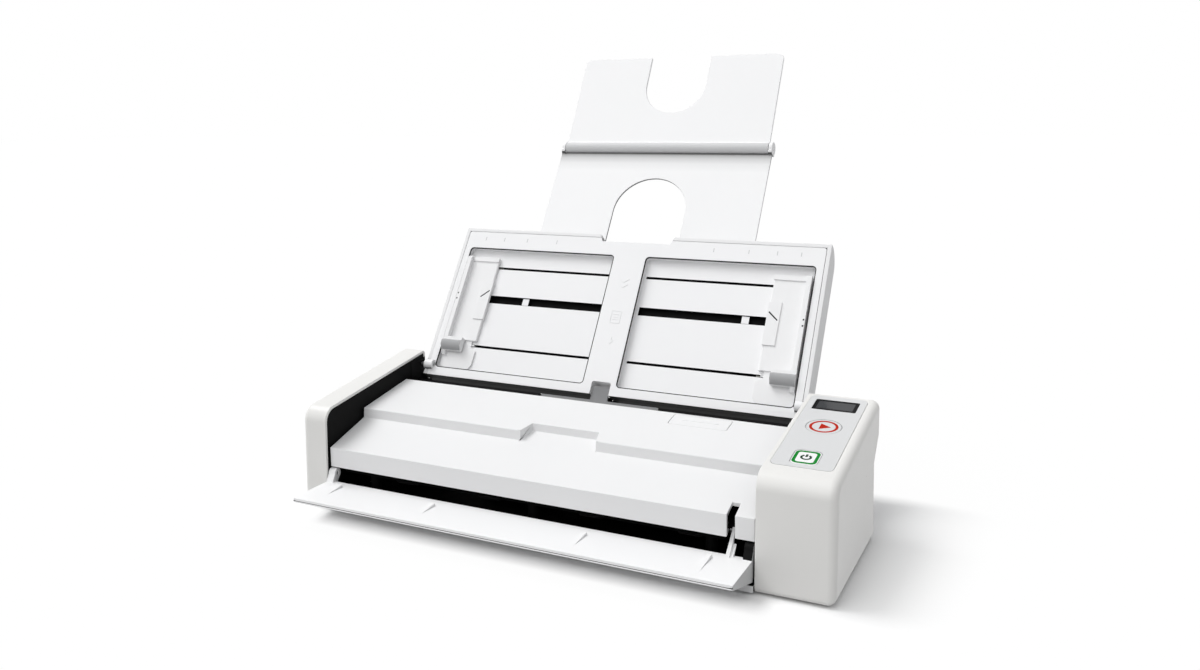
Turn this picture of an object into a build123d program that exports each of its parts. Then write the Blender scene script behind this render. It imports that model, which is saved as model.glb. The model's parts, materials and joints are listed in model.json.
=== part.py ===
"""Portable document scanner: two end housings, a hinged paper cover, a folding input tray
with sliding paper guides and a two-stage extension, and a hinged output flap.

Frame: X to the right seen from the front, Y to the back, Z up, millimetres. The origin is on the
table surface, midway between the end faces and midway between the output flap's front edge and the
open tray extension's end. Depths named *_back are measured from the front face of the end
housings, heights named *_up from the underside of the case."""
from build123d import *
from math import acos, atan2, cos, degrees, hypot, pi, radians, sin, tan
import os

# Case
width = 300.0
depth = 103.0
front_height = 56.0
rear_height = 71.0
foot_height = 1.2
foot_radius = 4.6
foot_inset = 16.0
shell_wall = 1.8
left_cover_width = 16.5
right_housing_width = 36.8
outer_edge_radius = 4.0
front_top_radius = 9.0
front_bottom_radius = 2.5
waist_back = 91.5
waist_up = 40.0
heel_back = 94.0
overhang_up = 52.0
seam_gap = 0.2
running_gap = 0.4

# Inner walls that carry the shafts and the hinges
plate_wall = 2.2
pin_clearance = 0.05

# Paper path, a straight line that rises to the back between the two guides
path_front_up = 19.5
path_slope = 0.30
paper_gap = 0.6
guide_wall = 2.0
path_front_back = 7.0
path_rear_back = 83.0
ramp_back = 92.5
ramp_up = 50.0
crest_back = 94.4
crest_up = 54.0

# Paper cover
cover_front_back = 2.8
cover_lip_up = 34.0
step_back = 35.3
step_foot_up = 43.6
step_top_up = 49.2
cover_rear_back = 79.8
cover_rear_up = 56.8
cover_wall = 2.0
cover_left_gap = 1.0
cover_right_gap = 1.0
cover_pivot_back = 76.5
cover_pivot_up = 50.0
cover_pin_radius = 2.0
finger_front_width = 46.0
finger_back_width = 40.0
finger_depth = 10.0
arm_slot_width = 4.0
arm_slot_depth = 9.6
release_width = 32.4
release_depth = 12.4
release_side = 51.0

# Input tray
tray_lean = 56.2
tray_foot_back = 95.5
tray_foot_up = 57.2
tray_length = 105.8
tray_side_gap = 1.85
tray_thickness = 14.0
tray_front_thickness = 5.4
tray_recess_depth = 4.0
tray_rim = 4.1
tray_recess_bottom = 5.5
tray_recess_top = 91.5
tray_pin_along = 6.57
tray_pin_behind = 0.0
tray_pin_radius = 1.2
tray_boss_radius = 3.2
paper_center_x = -9.0
rail_half_width = 10.5
thin_slot = 1.2
thin_slot_low = 23.3
thin_slot_high = 79.0
wide_slot_low = 54.0
wide_slot_high = 59.0

# Paper guides
fence_side = 10.9
fence_wall = 2.9
fence_proud = 1.8
flange_reach = 19.3
guide_low = 26.0
guide_high = 85.0
guide_stop = 13.3
pinion_teeth = 12
pinion_module = 1.0
rack_width = 4.1
rack_thickness = 1.6

# Tray extension
ext_half_width = 72.75
ext_offset_x = 1.0
ext_thickness = 1.4
ext_low = 92.0
ext_high = 171.9
ext_axis_along = 176.5
ext_travel = 76.0
ext_ear_half = 72.75
ext_bar_radius = 4.2
ext_pin_radius = 1.2
window_half_width = 24.5
window_top = 152.5
leaf_half_width = 70.2
leaf_length = 69.0
leaf_thickness = 1.8
leaf_lean = 4.4
leaf_notch_half = 21.0
leaf_notch_bottom = 26.0
leaf_corner = 4.0
leaf_setback = 0.2
sliding_gap = 0.3
flap_front_back = -30.0
flap_root_back = 2.0
flap_root_low = 4.4
flap_top_up = 15.1
flap_front_thickness = 2.4
flap_axis_back = 4.0
flap_axis_up = 19.3
flap_pin_radius = 1.0
flap_knuckle_radius = 2.8
flap_plate = 1.4

# Rollers and drive
feed_center_back = 68.6
feed_radius = 9.0
feed_roller_length = 20.0
feed_roller_spacing = 32.0
feed_shaft_radius = 3.0
exit_radius = 7.0
exit_shaft_radius = 2.5
exit_roller_length = 12.0
exit_outer_room = 37.5
exit_inner_step = 30.0
pinch_radius = 4.0
pinch_shaft_radius = 1.5
drive_module = 1.0
roller_gear_teeth = 24
idler_teeth = 22
motor_teeth = 12
gear_width = 4.0
drive_line_angle = 194.2
motor_angle = -62.0
motor_radius = 10.0
motor_length = 20.0
gear_backlash = 0.25
bracket_reach_front = 27.6
bracket_reach_rear = 21.4

# Image sensors
sensor_width = 13.0
sensor_height = 9.5
sensor_glass = 1.0
lower_sensor_along = 42.0
upper_sensor_along = 53.0

# Control panel
panel_left_margin = 2.4
panel_right_margin = 5.4
panel_low = 13.8
panel_high = 100.0
panel_depth = 0.8
panel_corner = 3.0
display_width = 22.3
display_length = 13.4
display_low = 82.0
start_key_radius = 8.6
start_key_along = 61.3
power_key_width = 12.6
power_key_length = 15.0
power_key_along = 24.8
key_gap = 0.3
board_drop = -7.0
slope_angle = degrees(atan2(rear_height - front_height, depth))

# Case floor and rear
pan_front_back = -1.0
pan_floor = 2.2
board_lift = 5.0
board_thickness = 1.6
board_left_room = 73.5
board_right_room = 13.2
board_front = 52.0
board_rear = 88.0
board_margin = 5.0
grille_slots = 14
grille_room = 33.5
screw_left_room = 23.5
screw_front_room = 25.2
screw_rear_room = 8.2
screw_shank_radius = 1.4
screw_length = 7.0
usb_side = 51.2
power_side = 27.2
usb_width = 12.0
usb_height = 10.8
usb_depth = 15.0

# Paper entry
entry_center_x = -7.8
mouth_relief = 7.6
pad_half_width = 37.5
tab_half_width = 5.4

# Finger recess
finger_center_x = -5.0

# Tray plate, slots and chamber
slot_inner = 12.4
slot_side = 22.3
keel_width = 5.8
keel_side = 0.8
chamber_side = 17.0
chamber_low = 18.5
chamber_high = 84.6
bridge_places = (-65.5, 78.0)
tray_side_wall = 2.7
face_inset = 2.5
grip_offset_x = 1.5
tray_end_radius = 12.0
pinion_post_radius = 1.5
window_low = 101.0
ext_ear_start = 170.6

# Worked out from the sizes above
rack_front = -(tray_recess_depth + 1.4 + sliding_gap)
rack_back = rack_front - rack_thickness
web_front = rack_back - sliding_gap
web_back = web_front - 1.0
ext_front = web_back - 0.2
ext_back = ext_front - ext_thickness
ext_axis_n = ext_back - 0.2
rack_center = (wide_slot_low + wide_slot_high) / 2
pinion_radius = pinion_teeth * pinion_module / 2
case_left = -width / 2
case_right = width / 2
ext_axis_back = (
    tray_foot_back + ext_axis_along * cos(radians(tray_lean)) - ext_axis_n * sin(radians(tray_lean))
)
leaf_angle = radians(tray_lean + leaf_lean)
leaf_end_back = ext_axis_back + leaf_length * cos(leaf_angle) - leaf_setback * sin(leaf_angle)
case_front = -(leaf_end_back + flap_front_back) / 2
cover_seam_left = case_left + left_cover_width
housing_seam_right = case_right - right_housing_width
wall_left_inner = cover_seam_left - seam_gap
wall_right_inner = housing_seam_right + seam_gap
path_angle = degrees(atan2(path_slope, 1.0))
socket_up = pan_floor + board_lift + board_thickness + usb_height / 2
socket_face_back = heel_back - 0.9
lid_left = wall_left_inner + cover_left_gap
lid_right = wall_right_inner - cover_right_gap
tray_half_width = (housing_seam_right - cover_seam_left) / 2 - tray_side_gap
face_half_width = tray_half_width - tray_side_wall
chamber_half_width = tray_half_width - chamber_side
slot_outer = tray_half_width - slot_side
keel_outer = slot_outer - keel_side
keel_inner = keel_outer - keel_width
fence_half_spacing = tray_half_width - fence_side
flange_inner = fence_half_spacing - flange_reach
guide_travel = flange_inner - guide_stop
release_center_x = housing_seam_right - release_side
usb_socket_x = housing_seam_right - usb_side
power_socket_x = housing_seam_right - power_side
board_left = cover_seam_left + board_left_room
board_right = housing_seam_right - board_right_room
panel_center_x = (housing_seam_right + panel_left_margin + case_right - panel_right_margin) / 2


def back(distance):
    return case_front + distance


def up(height):
    return foot_height + height


def path_up(distance):
    return path_front_up + path_slope * distance


slope_plane = Plane(
    origin=(0, back(0), up(front_height)),
    x_dir=(1, 0, 0),
    z_dir=(0, -sin(radians(slope_angle)), cos(radians(slope_angle))),
)
tray_plane = Plane(
    origin=(paper_center_x, back(tray_foot_back), up(tray_foot_up)),
    x_dir=(1, 0, 0),
    z_dir=(0, -sin(radians(tray_lean)), cos(radians(tray_lean))),
)
cover_angle = degrees(atan2(cover_rear_up - step_top_up, cover_rear_back - step_back))
cover_plane = Plane(
    origin=(0, back(step_back), up(step_top_up)),
    x_dir=(1, 0, 0),
    z_dir=(0, -sin(radians(cover_angle)), cos(radians(cover_angle))),
)


def case_point(distance, height):
    """A point of the side view, as depth from the front face and height above the underside."""
    return (back(distance), up(height))


def side_slab(points, x_low, x_high):
    """A slab between two X values with an outline in the side view."""
    face = Plane.YZ * Polygon(*points, align=None)
    return Pos(x_low, 0, 0) * extrude(face, x_high - x_low, dir=(1, 0, 0))


def block(x_low, x_high, y_low, y_high, z_low, z_high):
    size = (x_high - x_low, y_high - y_low, z_high - z_low)
    middle = ((x_low + x_high) / 2, (y_low + y_high) / 2, (z_low + z_high) / 2)
    return Pos(*middle) * Box(*size)


def raised(face, low, high):
    """A flat outline made solid between two heights."""
    return Pos(0, 0, low) * extrude(face, high - low, dir=(0, 0, 1))


def x_rod(radius, x_low, x_high, y, z):
    """A round bar along X."""
    return Pos((x_low + x_high) / 2, y, z) * Rot(0, 90, 0) * Cylinder(radius, x_high - x_low)


def case_outline(inset=0.0):
    """The end housings' side outline, rounded at the front and drawn in below the overhang."""
    lean = rear_height - front_height
    line = Polyline(
        case_point(0, 0),
        case_point(heel_back, 0),
        case_point(waist_back, waist_up),
        case_point(depth, overhang_up),
        case_point(depth, rear_height),
        case_point(0, rear_height - lean),
        close=True,
    )
    face = make_face(line)
    corners = face.vertices().sort_by(Axis.X)
    front = sorted(corners[:2], key=lambda v: v.Y)
    face = fillet(front[1], front_top_radius)
    corners = face.vertices().sort_by(Axis.X)
    face = fillet(min(corners[:3], key=lambda v: v.Y), front_bottom_radius)
    rear = [v for v in face.vertices() if v.Y > up(overhang_up) + 1 and v.X > back(depth) - 1]
    face = fillet(rear, front_bottom_radius)
    if inset:
        face = offset(face, amount=-inset, kind=Kind.INTERSECTION)
    return face


def case_slab(x_low, x_high, inset=0.0):
    return Pos(x_low, 0, 0) * extrude(Plane.YZ * case_outline(inset), x_high - x_low)


def gear(teeth, module, thickness, bore, backlash, phase=0.0):
    """A spur gear centred on the X axis: involute flanks at 20 degrees, thinned by the backlash."""
    pitch = teeth * module / 2
    base = pitch * cos(radians(20))
    root = pitch - 1.15 * module
    tip = pitch + 0.85 * module

    def half_tooth(radius):
        turn = acos(base / max(radius, base))
        rest = radians(20)
        spread = (tan(rest) - rest) - (tan(turn) - turn)
        return pi / (2 * teeth) - backlash / (2 * pitch) + spread

    radii = [root, max(root + 0.02, base), pitch, (pitch + tip) / 2, tip]
    flank = [(radius, half_tooth(radius)) for radius in radii]
    points = []
    for index in range(teeth):
        middle = radians(phase) + index * 2 * pi / teeth
        for radius, half in flank:
            points.append((radius * cos(middle - half), radius * sin(middle - half)))
        for radius, half in reversed(flank):
            points.append((radius * cos(middle + half), radius * sin(middle + half)))
    wheel = extrude(Plane.YZ * Polygon(*points, align=None), thickness)
    return wheel - x_rod(bore, -1, thickness + 1, 0, 0)


def meshed(phase, teeth, next_teeth, direction):
    """The phase of the next wheel in a given direction, so that its gap meets this one's tooth."""
    past_tooth = (direction - phase) % (360 / teeth)
    return direction + 180 + past_tooth * teeth / next_teeth + 180 / next_teeth


# Shaft centres in the side view
feed_center = (
    back(feed_center_back),
    up(path_up(feed_center_back)) - (feed_radius + 0.1) * 1.0 / cos(radians(path_angle)),
)
bracket_front = feed_center_back - bracket_reach_front
bracket_rear = feed_center_back + bracket_reach_rear
center_distance = drive_module * (roller_gear_teeth + idler_teeth) / 2
drive_direction = (cos(radians(drive_line_angle)), sin(radians(drive_line_angle)))
idler_center = (
    feed_center[0] + center_distance * drive_direction[0],
    feed_center[1] + center_distance * drive_direction[1],
)
exit_center = (
    feed_center[0] + 2 * center_distance * drive_direction[0],
    feed_center[1] + 2 * center_distance * drive_direction[1],
)
motor_distance = drive_module * (roller_gear_teeth + motor_teeth) / 2
motor_center = (
    feed_center[0] + motor_distance * cos(radians(motor_angle)),
    feed_center[1] + motor_distance * sin(radians(motor_angle)),
)
cover_pivot = case_point(cover_pivot_back, cover_pivot_up)
flap_axis = case_point(flap_axis_back, flap_axis_up)


def tray_to_side(along, normal):
    """A point of the tray's side view, in the case's Y and Z."""
    lean = radians(tray_lean)
    y = back(tray_foot_back) + along * cos(lean) - normal * sin(lean)
    z = up(tray_foot_up) + along * sin(lean) + normal * cos(lean)
    return (y, z)


tray_pivot = tray_to_side(tray_pin_along, -tray_pin_behind)


def pinch_center(roller_center, roller_radius):
    """The pinch roller sits square across the paper path from its driven roller."""
    reach = roller_radius + pinch_radius + 0.3
    angle = radians(path_angle)
    return (roller_center[0] - reach * sin(angle), roller_center[1] + reach * cos(angle))


feed_pinch = pinch_center(feed_center, feed_radius)
exit_pinch = pinch_center(exit_center, exit_radius)
gear_low = wall_right_inner + plate_wall + 1.6
gear_high = gear_low + gear_width
bracket_low = gear_high + 1.2
bracket_high = bracket_low + 1.2


# End housings and the walls that close them
def left_end_cover():
    """Shell open to the inside, with a rounded outer edge."""
    outer = case_slab(case_left, cover_seam_left)
    outer = fillet(outer.faces().sort_by(Axis.X)[0].edges(), outer_edge_radius)
    return outer - case_slab(case_left + shell_wall, cover_seam_left + 1, shell_wall)


def panel_face(grow=0.0):
    """The control panel's outline on the sloped top, in the slope's own plane."""
    span_x = right_housing_width - panel_left_margin - panel_right_margin + 2 * grow
    span_y = panel_high - panel_low + 2 * grow
    return Pos(panel_center_x, (panel_low + panel_high) / 2) * RectangleRounded(
        span_x, span_y, panel_corner + grow
    )


def start_key_face(grow=0.0):
    return Pos(panel_center_x, start_key_along) * Circle(start_key_radius + grow)


def power_key_face(grow=0.0):
    return Pos(panel_center_x, power_key_along) * RectangleRounded(
        power_key_width + 2 * grow, power_key_length + 2 * grow, panel_corner + grow
    )


def display_face(grow=0.0):
    return Pos(panel_center_x, display_low + display_length / 2) * RectangleRounded(
        display_width + 2 * grow, display_length + 2 * grow, 0.8 + grow
    )


def on_slope(face, low, high):
    """A face of the slope's plane made solid between two heights over the slope."""
    return slope_plane.location * Pos(0, 0, low) * extrude(face, high - low)


def right_end_housing():
    """Shell open to the inside, with the control panel's pocket, its holes and the board's bosses."""
    outer = case_slab(housing_seam_right, case_right)
    outer = fillet(outer.faces().sort_by(Axis.X)[-1].edges(), outer_edge_radius)
    shell = outer - case_slab(housing_seam_right - 1, case_right - shell_wall, shell_wall)
    shell -= on_slope(panel_face(0.1), -panel_depth, 1)
    for hole in (start_key_face(key_gap + 0.3), power_key_face(key_gap + 0.3), display_face()):
        shell -= on_slope(hole, -shell_wall - 2, 1)
    for x, along in panel_boss_places():
        shell += on_slope(Pos(x, along) * Circle(1.8), board_drop, -shell_wall + 0.3)
    return shell


def panel_boss_places():
    for side in (-1, 1):
        for along in (42.0, 76.0):
            yield panel_center_x + side * 9.4, along


def side_plate(x_low):
    """A plate that fills a housing's mouth, bored for the shafts and for every hinge pin."""
    plate = case_slab(x_low, x_low + plate_wall, shell_wall + seam_gap)
    for radius, center in (
        (feed_shaft_radius + 1.5, feed_center),
        (exit_shaft_radius + 1.5, exit_center),
        (cover_pin_radius + pin_clearance, cover_pivot),
        (flap_pin_radius + pin_clearance, flap_axis),
        (tray_pin_radius + pin_clearance, tray_pivot),
    ):
        plate -= x_rod(radius, x_low - 1, x_low + plate_wall + 1, *center)
    return plate


def left_inner_wall():
    return side_plate(wall_left_inner - plate_wall)


def right_inner_wall():
    plate = side_plate(wall_right_inner)
    return plate - x_rod(2.0, wall_right_inner - 1, wall_right_inner + plate_wall + 1, *idler_center)


def base_pan():
    """The case floor between the housings, with an upstand behind the flap, posts for the board,
    saddles for the lower image sensor and countersunk screw holes."""
    low_x = cover_seam_left + seam_gap
    high_x = housing_seam_right - seam_gap
    section = [
        case_point(pan_front_back, 0),
        case_point(heel_back - 0.4, 0),
        case_point(heel_back - 0.5, pan_floor),
        case_point(11.0, pan_floor),
        case_point(10.0, 10.0),
        case_point(8.4, 10.0),
        case_point(8.4, 3.4),
        case_point(pan_front_back, 3.4),
    ]
    pan = side_slab(section, low_x, high_x)
    pan = fillet(pan.edges().filter_by(Axis.X).group_by(Axis.Z)[-1], 0.6)
    for x, y in board_posts():
        pan += Pos(x, y, up(pan_floor + board_lift / 2)) * Cylinder(2.6, board_lift)
    for x in (lid_left + 14, 0, lid_right - 14):
        pan += sensor_saddle(x)
    for x, y in pan_screw_places():
        pan -= Pos(x, y, up(0)) * Cylinder(3.2, 2 * 1.2)
        pan -= Pos(x, y, up(0)) * Cylinder(1.7, 4 * pan_floor)
    return pan


def sensor_saddle(x):
    """A block on the case floor whose sloped top carries the lower image sensor."""
    height = -(paper_gap + sensor_glass + sensor_height)
    points = [
        (path_point(lower_sensor_along, height)[0] - 5.0, up(1.0)),
        (path_point(lower_sensor_along, height)[0] + 5.0, up(1.0)),
        path_point(lower_sensor_along + 5.0, height),
        path_point(lower_sensor_along - 5.0, height),
    ]
    return side_slab(points, x - 4, x + 4)


def board_posts():
    for x in (board_left + board_margin, board_right - board_margin):
        for distance in (board_front + board_margin, board_rear - board_margin):
            yield x, back(distance)


def pan_screw_places():
    """Five screws: three in front, two behind, beside the circuit board."""
    left = cover_seam_left + screw_left_room
    for x in (left, paper_center_x, housing_seam_right - screw_front_room):
        yield x, back(15.0)
    for x in (left, housing_seam_right - screw_rear_room):
        yield x, back(82.0)


def rear_cover():
    """The back of the case between the housings: drawn in at the waist like them, with a grille
    of cooling slots and the two socket openings."""
    low_x = cover_seam_left + seam_gap
    high_x = housing_seam_right - seam_gap
    wall = 2.0
    section = [
        case_point(heel_back - 0.1, pan_floor),
        case_point(waist_back, waist_up),
        case_point(depth - 3.5, overhang_up - 4.2),
        case_point(depth - 3.5, overhang_up - 1.5),
        case_point(depth - 5.5, overhang_up - 1.5),
        case_point(depth - 5.5, overhang_up - 3.4),
        case_point(waist_back - wall, waist_up + 0.8),
        case_point(heel_back - 0.1 - wall, pan_floor),
    ]
    cover = side_slab(section, low_x, high_x)
    for index in range(grille_slots):
        x = cover_seam_left + grille_room + index * 6.0
        slot = SlotOverall(16.0, 2.0, rotation=90)
        cover -= Pos(x, back(heel_back) + 5, up(22.0)) * Rot(90, 0, 0) * extrude(slot, 20)
    cover -= block(*usb_opening(0.4))
    cover -= Pos(power_socket_x, back(heel_back), up(socket_up)) * Rot(90, 0, 0) * Cylinder(4.6, 16)
    return cover


def usb_opening(grow=0.0):
    half = usb_width / 2 + grow
    low = up(socket_up) - usb_height / 2 - grow
    high = up(socket_up) + usb_height / 2 + grow
    return (usb_socket_x - half, usb_socket_x + half, back(heel_back - 14), back(depth), low, high)


def usb_socket():
    """Square-bodied cable socket with bevelled upper corners and an inner tongue."""
    rear = back(socket_face_back)
    shell = block(
        usb_socket_x - usb_width / 2, usb_socket_x + usb_width / 2,
        rear - usb_depth, rear,
        up(socket_up) - usb_height / 2, up(socket_up) + usb_height / 2,
    )
    mouth = Rectangle(8.6, 7.8)
    mouth = chamfer(mouth.vertices().sort_by(Axis.Y)[-2:], 1.6)
    shell -= Pos(usb_socket_x, rear + 1, up(socket_up)) * Rot(90, 0, 0) * extrude(mouth, 10.0)
    tongue = block(usb_socket_x - 2.8, usb_socket_x + 2.8, rear - 10, rear - 1.5,
                   up(socket_up) - 1.3, up(socket_up) + 1.3)
    return shell + tongue


def power_socket():
    """Round barrel socket with its centre pin."""
    rear = back(socket_face_back)
    low = up(socket_up) - usb_height / 2
    body = block(power_socket_x - 4.5, power_socket_x + 4.5, rear - 13, rear - 3, low, low + 10.2)
    mouth_place = Pos(power_socket_x, rear, up(socket_up)) * Rot(90, 0, 0)
    body += mouth_place * extrude(Circle(4.2), 4.0)
    body -= mouth_place * extrude(Circle(2.9), 9.0)
    body += Pos(power_socket_x, rear - 1.5, up(socket_up)) * Rot(90, 0, 0) * extrude(Circle(1.0), 8.0)
    return body


def main_board():
    """Circuit board on the pan's posts, with its chips."""
    low = up(pan_floor + board_lift)
    high = low + board_thickness
    board = block(board_left, board_right, back(board_front), back(board_rear), low, high)
    for x, distance, size, tall in (
        (-30.0, 66.0, 16.0, 1.6),
        (5.0, 62.0, 12.0, 1.4),
        (30.0, 70.0, 9.0, 1.2),
        (-48.0, 58.0, 7.0, 3.0),
    ):
        board += Pos(x, back(distance), high + tall / 2) * Box(size, size, tall)
    return board


def rubber_feet():
    feet = []
    left = (case_left + cover_seam_left) / 2
    right = (case_right + housing_seam_right) / 2
    for x in (left, right):
        for y in (back(foot_inset), back(heel_back - foot_inset)):
            disc = Pos(x, y, foot_height / 2) * Cylinder(foot_radius, foot_height)
            feet.append(fillet(disc.edges().group_by(Axis.Z)[0], 0.3))
    return Compound(feet)


def case_screws():
    """Pan-head screws that draw the case floor against the paper guide's legs."""
    screws = []
    for x, y in pan_screw_places():
        head = Pos(x, y, up(0.65)) * Cylinder(2.9, 1.1)
        head -= Pos(x, y, up(0.1)) * extrude(RegularPolygon(1.3, 6), 0.7)
        shank = Pos(x, y, up(1.2 + screw_length / 2)) * Cylinder(screw_shank_radius, screw_length)
        screws.append(head + shank)
    return Compound(screws)


# Paper path
def path_point(distance, height):
    """A side-view point at a depth from the front face and a height square to the path."""
    angle = radians(path_angle)
    return (
        back(distance) - height * sin(angle),
        up(path_up(distance)) + height * cos(angle),
    )


def lower_paper_guide():
    """The bed under the paper: a straight run, then a curved ramp up to the tray, with windows
    for the rollers and the image sensor, standing on screwed legs."""
    low_x = wall_left_inner + running_gap
    high_x = wall_right_inner - running_gap
    middle_back = (path_rear_back + ramp_back) / 2
    middle_up = (path_up(path_rear_back) + ramp_up) / 2
    top = [
        path_point(path_front_back, -paper_gap - 1.2),
        path_point(path_front_back + 3, -paper_gap),
        path_point(path_rear_back - 4, -paper_gap),
        path_point(path_rear_back + 1, -paper_gap + 0.6),
        case_point(middle_back + 1, middle_up - 0.4),
        case_point(ramp_back - 0.3, ramp_up + 0.7),
        case_point(crest_back, crest_up),
    ]
    bottom = [
        case_point(crest_back + 1.5, crest_up - 1.1),
        case_point(ramp_back + 1.4, ramp_up - 1.4),
        case_point(middle_back + 2, middle_up - 2.8),
        path_point(path_rear_back + 1, -paper_gap - guide_wall),
        path_point(path_front_back + 1, -paper_gap - guide_wall),
        path_point(path_front_back, -paper_gap - guide_wall + 0.6),
    ]
    bed = side_slab(top + bottom, low_x, high_x)
    for x, y in pan_screw_places():
        low = up(pan_floor)
        high = up(path_up(y - back(0)) - 1.7)
        bed += Pos(x, y, (low + high) / 2) * Cylinder(3.0, high - low)
        bed -= Pos(x, y, low) * Cylinder(screw_shank_radius + 0.05, 2 * screw_length)
    bed -= window_on_path(lower_sensor_along, sensor_width + 2, sensor_span() + 4)
    for x, half in feed_roller_places():
        bed -= window_at(feed_center, x, half + 1, feed_radius + 0.8)
    for x, half in exit_roller_places():
        bed -= window_at(exit_center, x, half + 1, exit_radius + 0.8)
    bed -= block(low_x - 1, low_x + mouth_relief, back(0), back(17), up(0), up(40))
    bed -= block(arm_center_x() - 4.5, high_x + 1, back(0), back(17), up(0), up(40))
    half = pad_half_width + 0.2
    bed -= block(entry_center_x - half, entry_center_x + half,
                 back(ramp_back - 5.0), back(ramp_back + 5), up(ramp_up - 8), up(crest_up + 1))
    return bed


def sensor_span():
    return (lid_right - lid_left) - 16


def window_on_path(distance, wide, span):
    """A cutter through the paper path, square to it."""
    center = path_point(distance, 0)
    cutter = Box(span, wide, 12)
    middle = (lid_left + lid_right) / 2
    return Pos(middle, *center) * Rot(path_angle, 0, 0) * cutter


def window_at(center, x, half, radius):
    """A window over a roller: as wide as the roller where it meets the path."""
    return Pos(x, *center) * Rot(path_angle, 0, 0) * Box(2 * half, 2 * radius * 0.8, 44)


def feed_roller_places():
    for side in (-1, 1):
        yield paper_center_x + side * feed_roller_spacing / 2, feed_roller_length / 2


def exit_roller_places():
    outer = tray_half_width - exit_outer_room
    for step in (-outer, -exit_inner_step, exit_inner_step, outer):
        yield paper_center_x + step, exit_roller_length / 2


def feed_pad():
    """Grey feed plate at the paper entry, with a tab that stands in the tray's notch."""
    low_x = entry_center_x - pad_half_width
    high_x = entry_center_x + pad_half_width
    profile = [
        case_point(ramp_back - 4.8, ramp_up - 4.6),
        case_point(ramp_back + 3.0, ramp_up + 3.8),
        case_point(ramp_back + 4.0, ramp_up + 3.0),
        case_point(ramp_back - 3.2, ramp_up - 6.4),
    ]
    plate = side_slab(profile, low_x, high_x)
    plate = fillet(plate.edges().filter_by(Axis.X).group_by(Axis.Z)[-1], 0.4)
    tab = side_slab(
        [
            case_point(ramp_back + 1.6, ramp_up + 1.6),
            case_point(tray_foot_back + 4.2, tray_foot_up + 4.0),
            case_point(tray_foot_back + 5.0, tray_foot_up + 3.4),
            case_point(ramp_back + 3.0, ramp_up + 1.2),
        ],
        entry_center_x - tab_half_width,
        entry_center_x + tab_half_width,
    )
    return plate + tab


def drive_line_gear(teeth, bore, center, phase):
    return Pos(gear_low, *center) * gear(teeth, drive_module, gear_width, bore, gear_backlash, phase)


def sensor_bar(distance, side):
    """A contact image sensor under (-1) or over (1) the path, trough shaped, open to its glass."""
    depth_low = paper_gap + sensor_glass
    center = path_point(distance, side * (depth_low + sensor_height / 2))
    middle = (lid_left + lid_right) / 2
    bar = Box(sensor_span(), sensor_width, sensor_height)
    bar = fillet(bar.edges().filter_by(Axis.X), 0.8)
    trough = Pos(0, 0, -side * (sensor_height / 2 - 1.5)) * Box(sensor_span() - 8, 6.0, 3.1)
    return Pos(middle, *center) * Rot(path_angle, 0, 0) * (bar - trough)


def sensor_window(distance, side):
    center = path_point(distance, side * (paper_gap + sensor_glass / 2))
    middle = (lid_left + lid_right) / 2
    return Pos(middle, *center) * Rot(path_angle, 0, 0) * Box(sensor_span(), sensor_width, sensor_glass)


# Drive
def feed_roller_shaft():
    return x_rod(feed_shaft_radius, wall_left_inner - plate_wall - 2, gear_high, *feed_center)


def exit_roller_shaft():
    return x_rod(exit_shaft_radius, wall_left_inner - plate_wall - 2, gear_high, *exit_center)


def roller_set(places, radius, bore, center):
    """Rubber sleeves with shallow grooves along them."""
    sleeves = []
    for x, half in places:
        sleeve = x_rod(radius, x - half, x + half, *center)
        sleeve = chamfer(sleeve.edges().group_by(Axis.X)[0], 0.4)
        sleeve = chamfer(sleeve.edges().group_by(Axis.X)[-1], 0.4)
        sleeves.append(sleeve - x_rod(bore, x - half - 1, x + half + 1, *center))
    return Compound(sleeves)


def feed_rollers():
    return roller_set(feed_roller_places(), feed_radius, feed_shaft_radius, feed_center)


def exit_rollers():
    return roller_set(exit_roller_places(), exit_radius, exit_shaft_radius, exit_center)


def shaft_bushings():
    """Flanged bushes of the two driven shafts, in both inner walls."""
    rings = []
    for x_low, flange in (
        (wall_left_inner - plate_wall, -1.0),
        (wall_right_inner, 1.0),
    ):
        for radius, center in ((feed_shaft_radius, feed_center), (exit_shaft_radius, exit_center)):
            ring = x_rod(radius + 1.45, x_low, x_low + plate_wall, *center)
            edge = x_low if flange < 0 else x_low + plate_wall
            outer = sorted((edge, edge + flange))
            ring += x_rod(radius + 2.6, outer[0], outer[1], *center)
            rings.append(ring - x_rod(radius + pin_clearance, x_low - 3, x_low + plate_wall + 3, *center))
    return Compound(rings)


def feed_gear():
    return drive_line_gear(roller_gear_teeth, feed_shaft_radius, feed_center, drive_line_angle)


def idler_phase():
    return meshed(drive_line_angle, roller_gear_teeth, idler_teeth, drive_line_angle)


def idler_gear():
    return drive_line_gear(idler_teeth, 2.0 + pin_clearance, idler_center, idler_phase())


def exit_gear():
    phase = meshed(idler_phase(), idler_teeth, roller_gear_teeth, drive_line_angle)
    return drive_line_gear(roller_gear_teeth, exit_shaft_radius, exit_center, phase)


def motor_pinion():
    """The pinion on the motor's turning shaft."""
    phase = meshed(drive_line_angle, roller_gear_teeth, motor_teeth, motor_angle)
    wheel = drive_line_gear(motor_teeth, 0.5, motor_center, phase)
    return wheel + x_rod(1.5, gear_low, bracket_high + 2.5, *motor_center)


def idler_axle():
    return x_rod(1.98, wall_right_inner, bracket_low, *idler_center)


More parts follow.
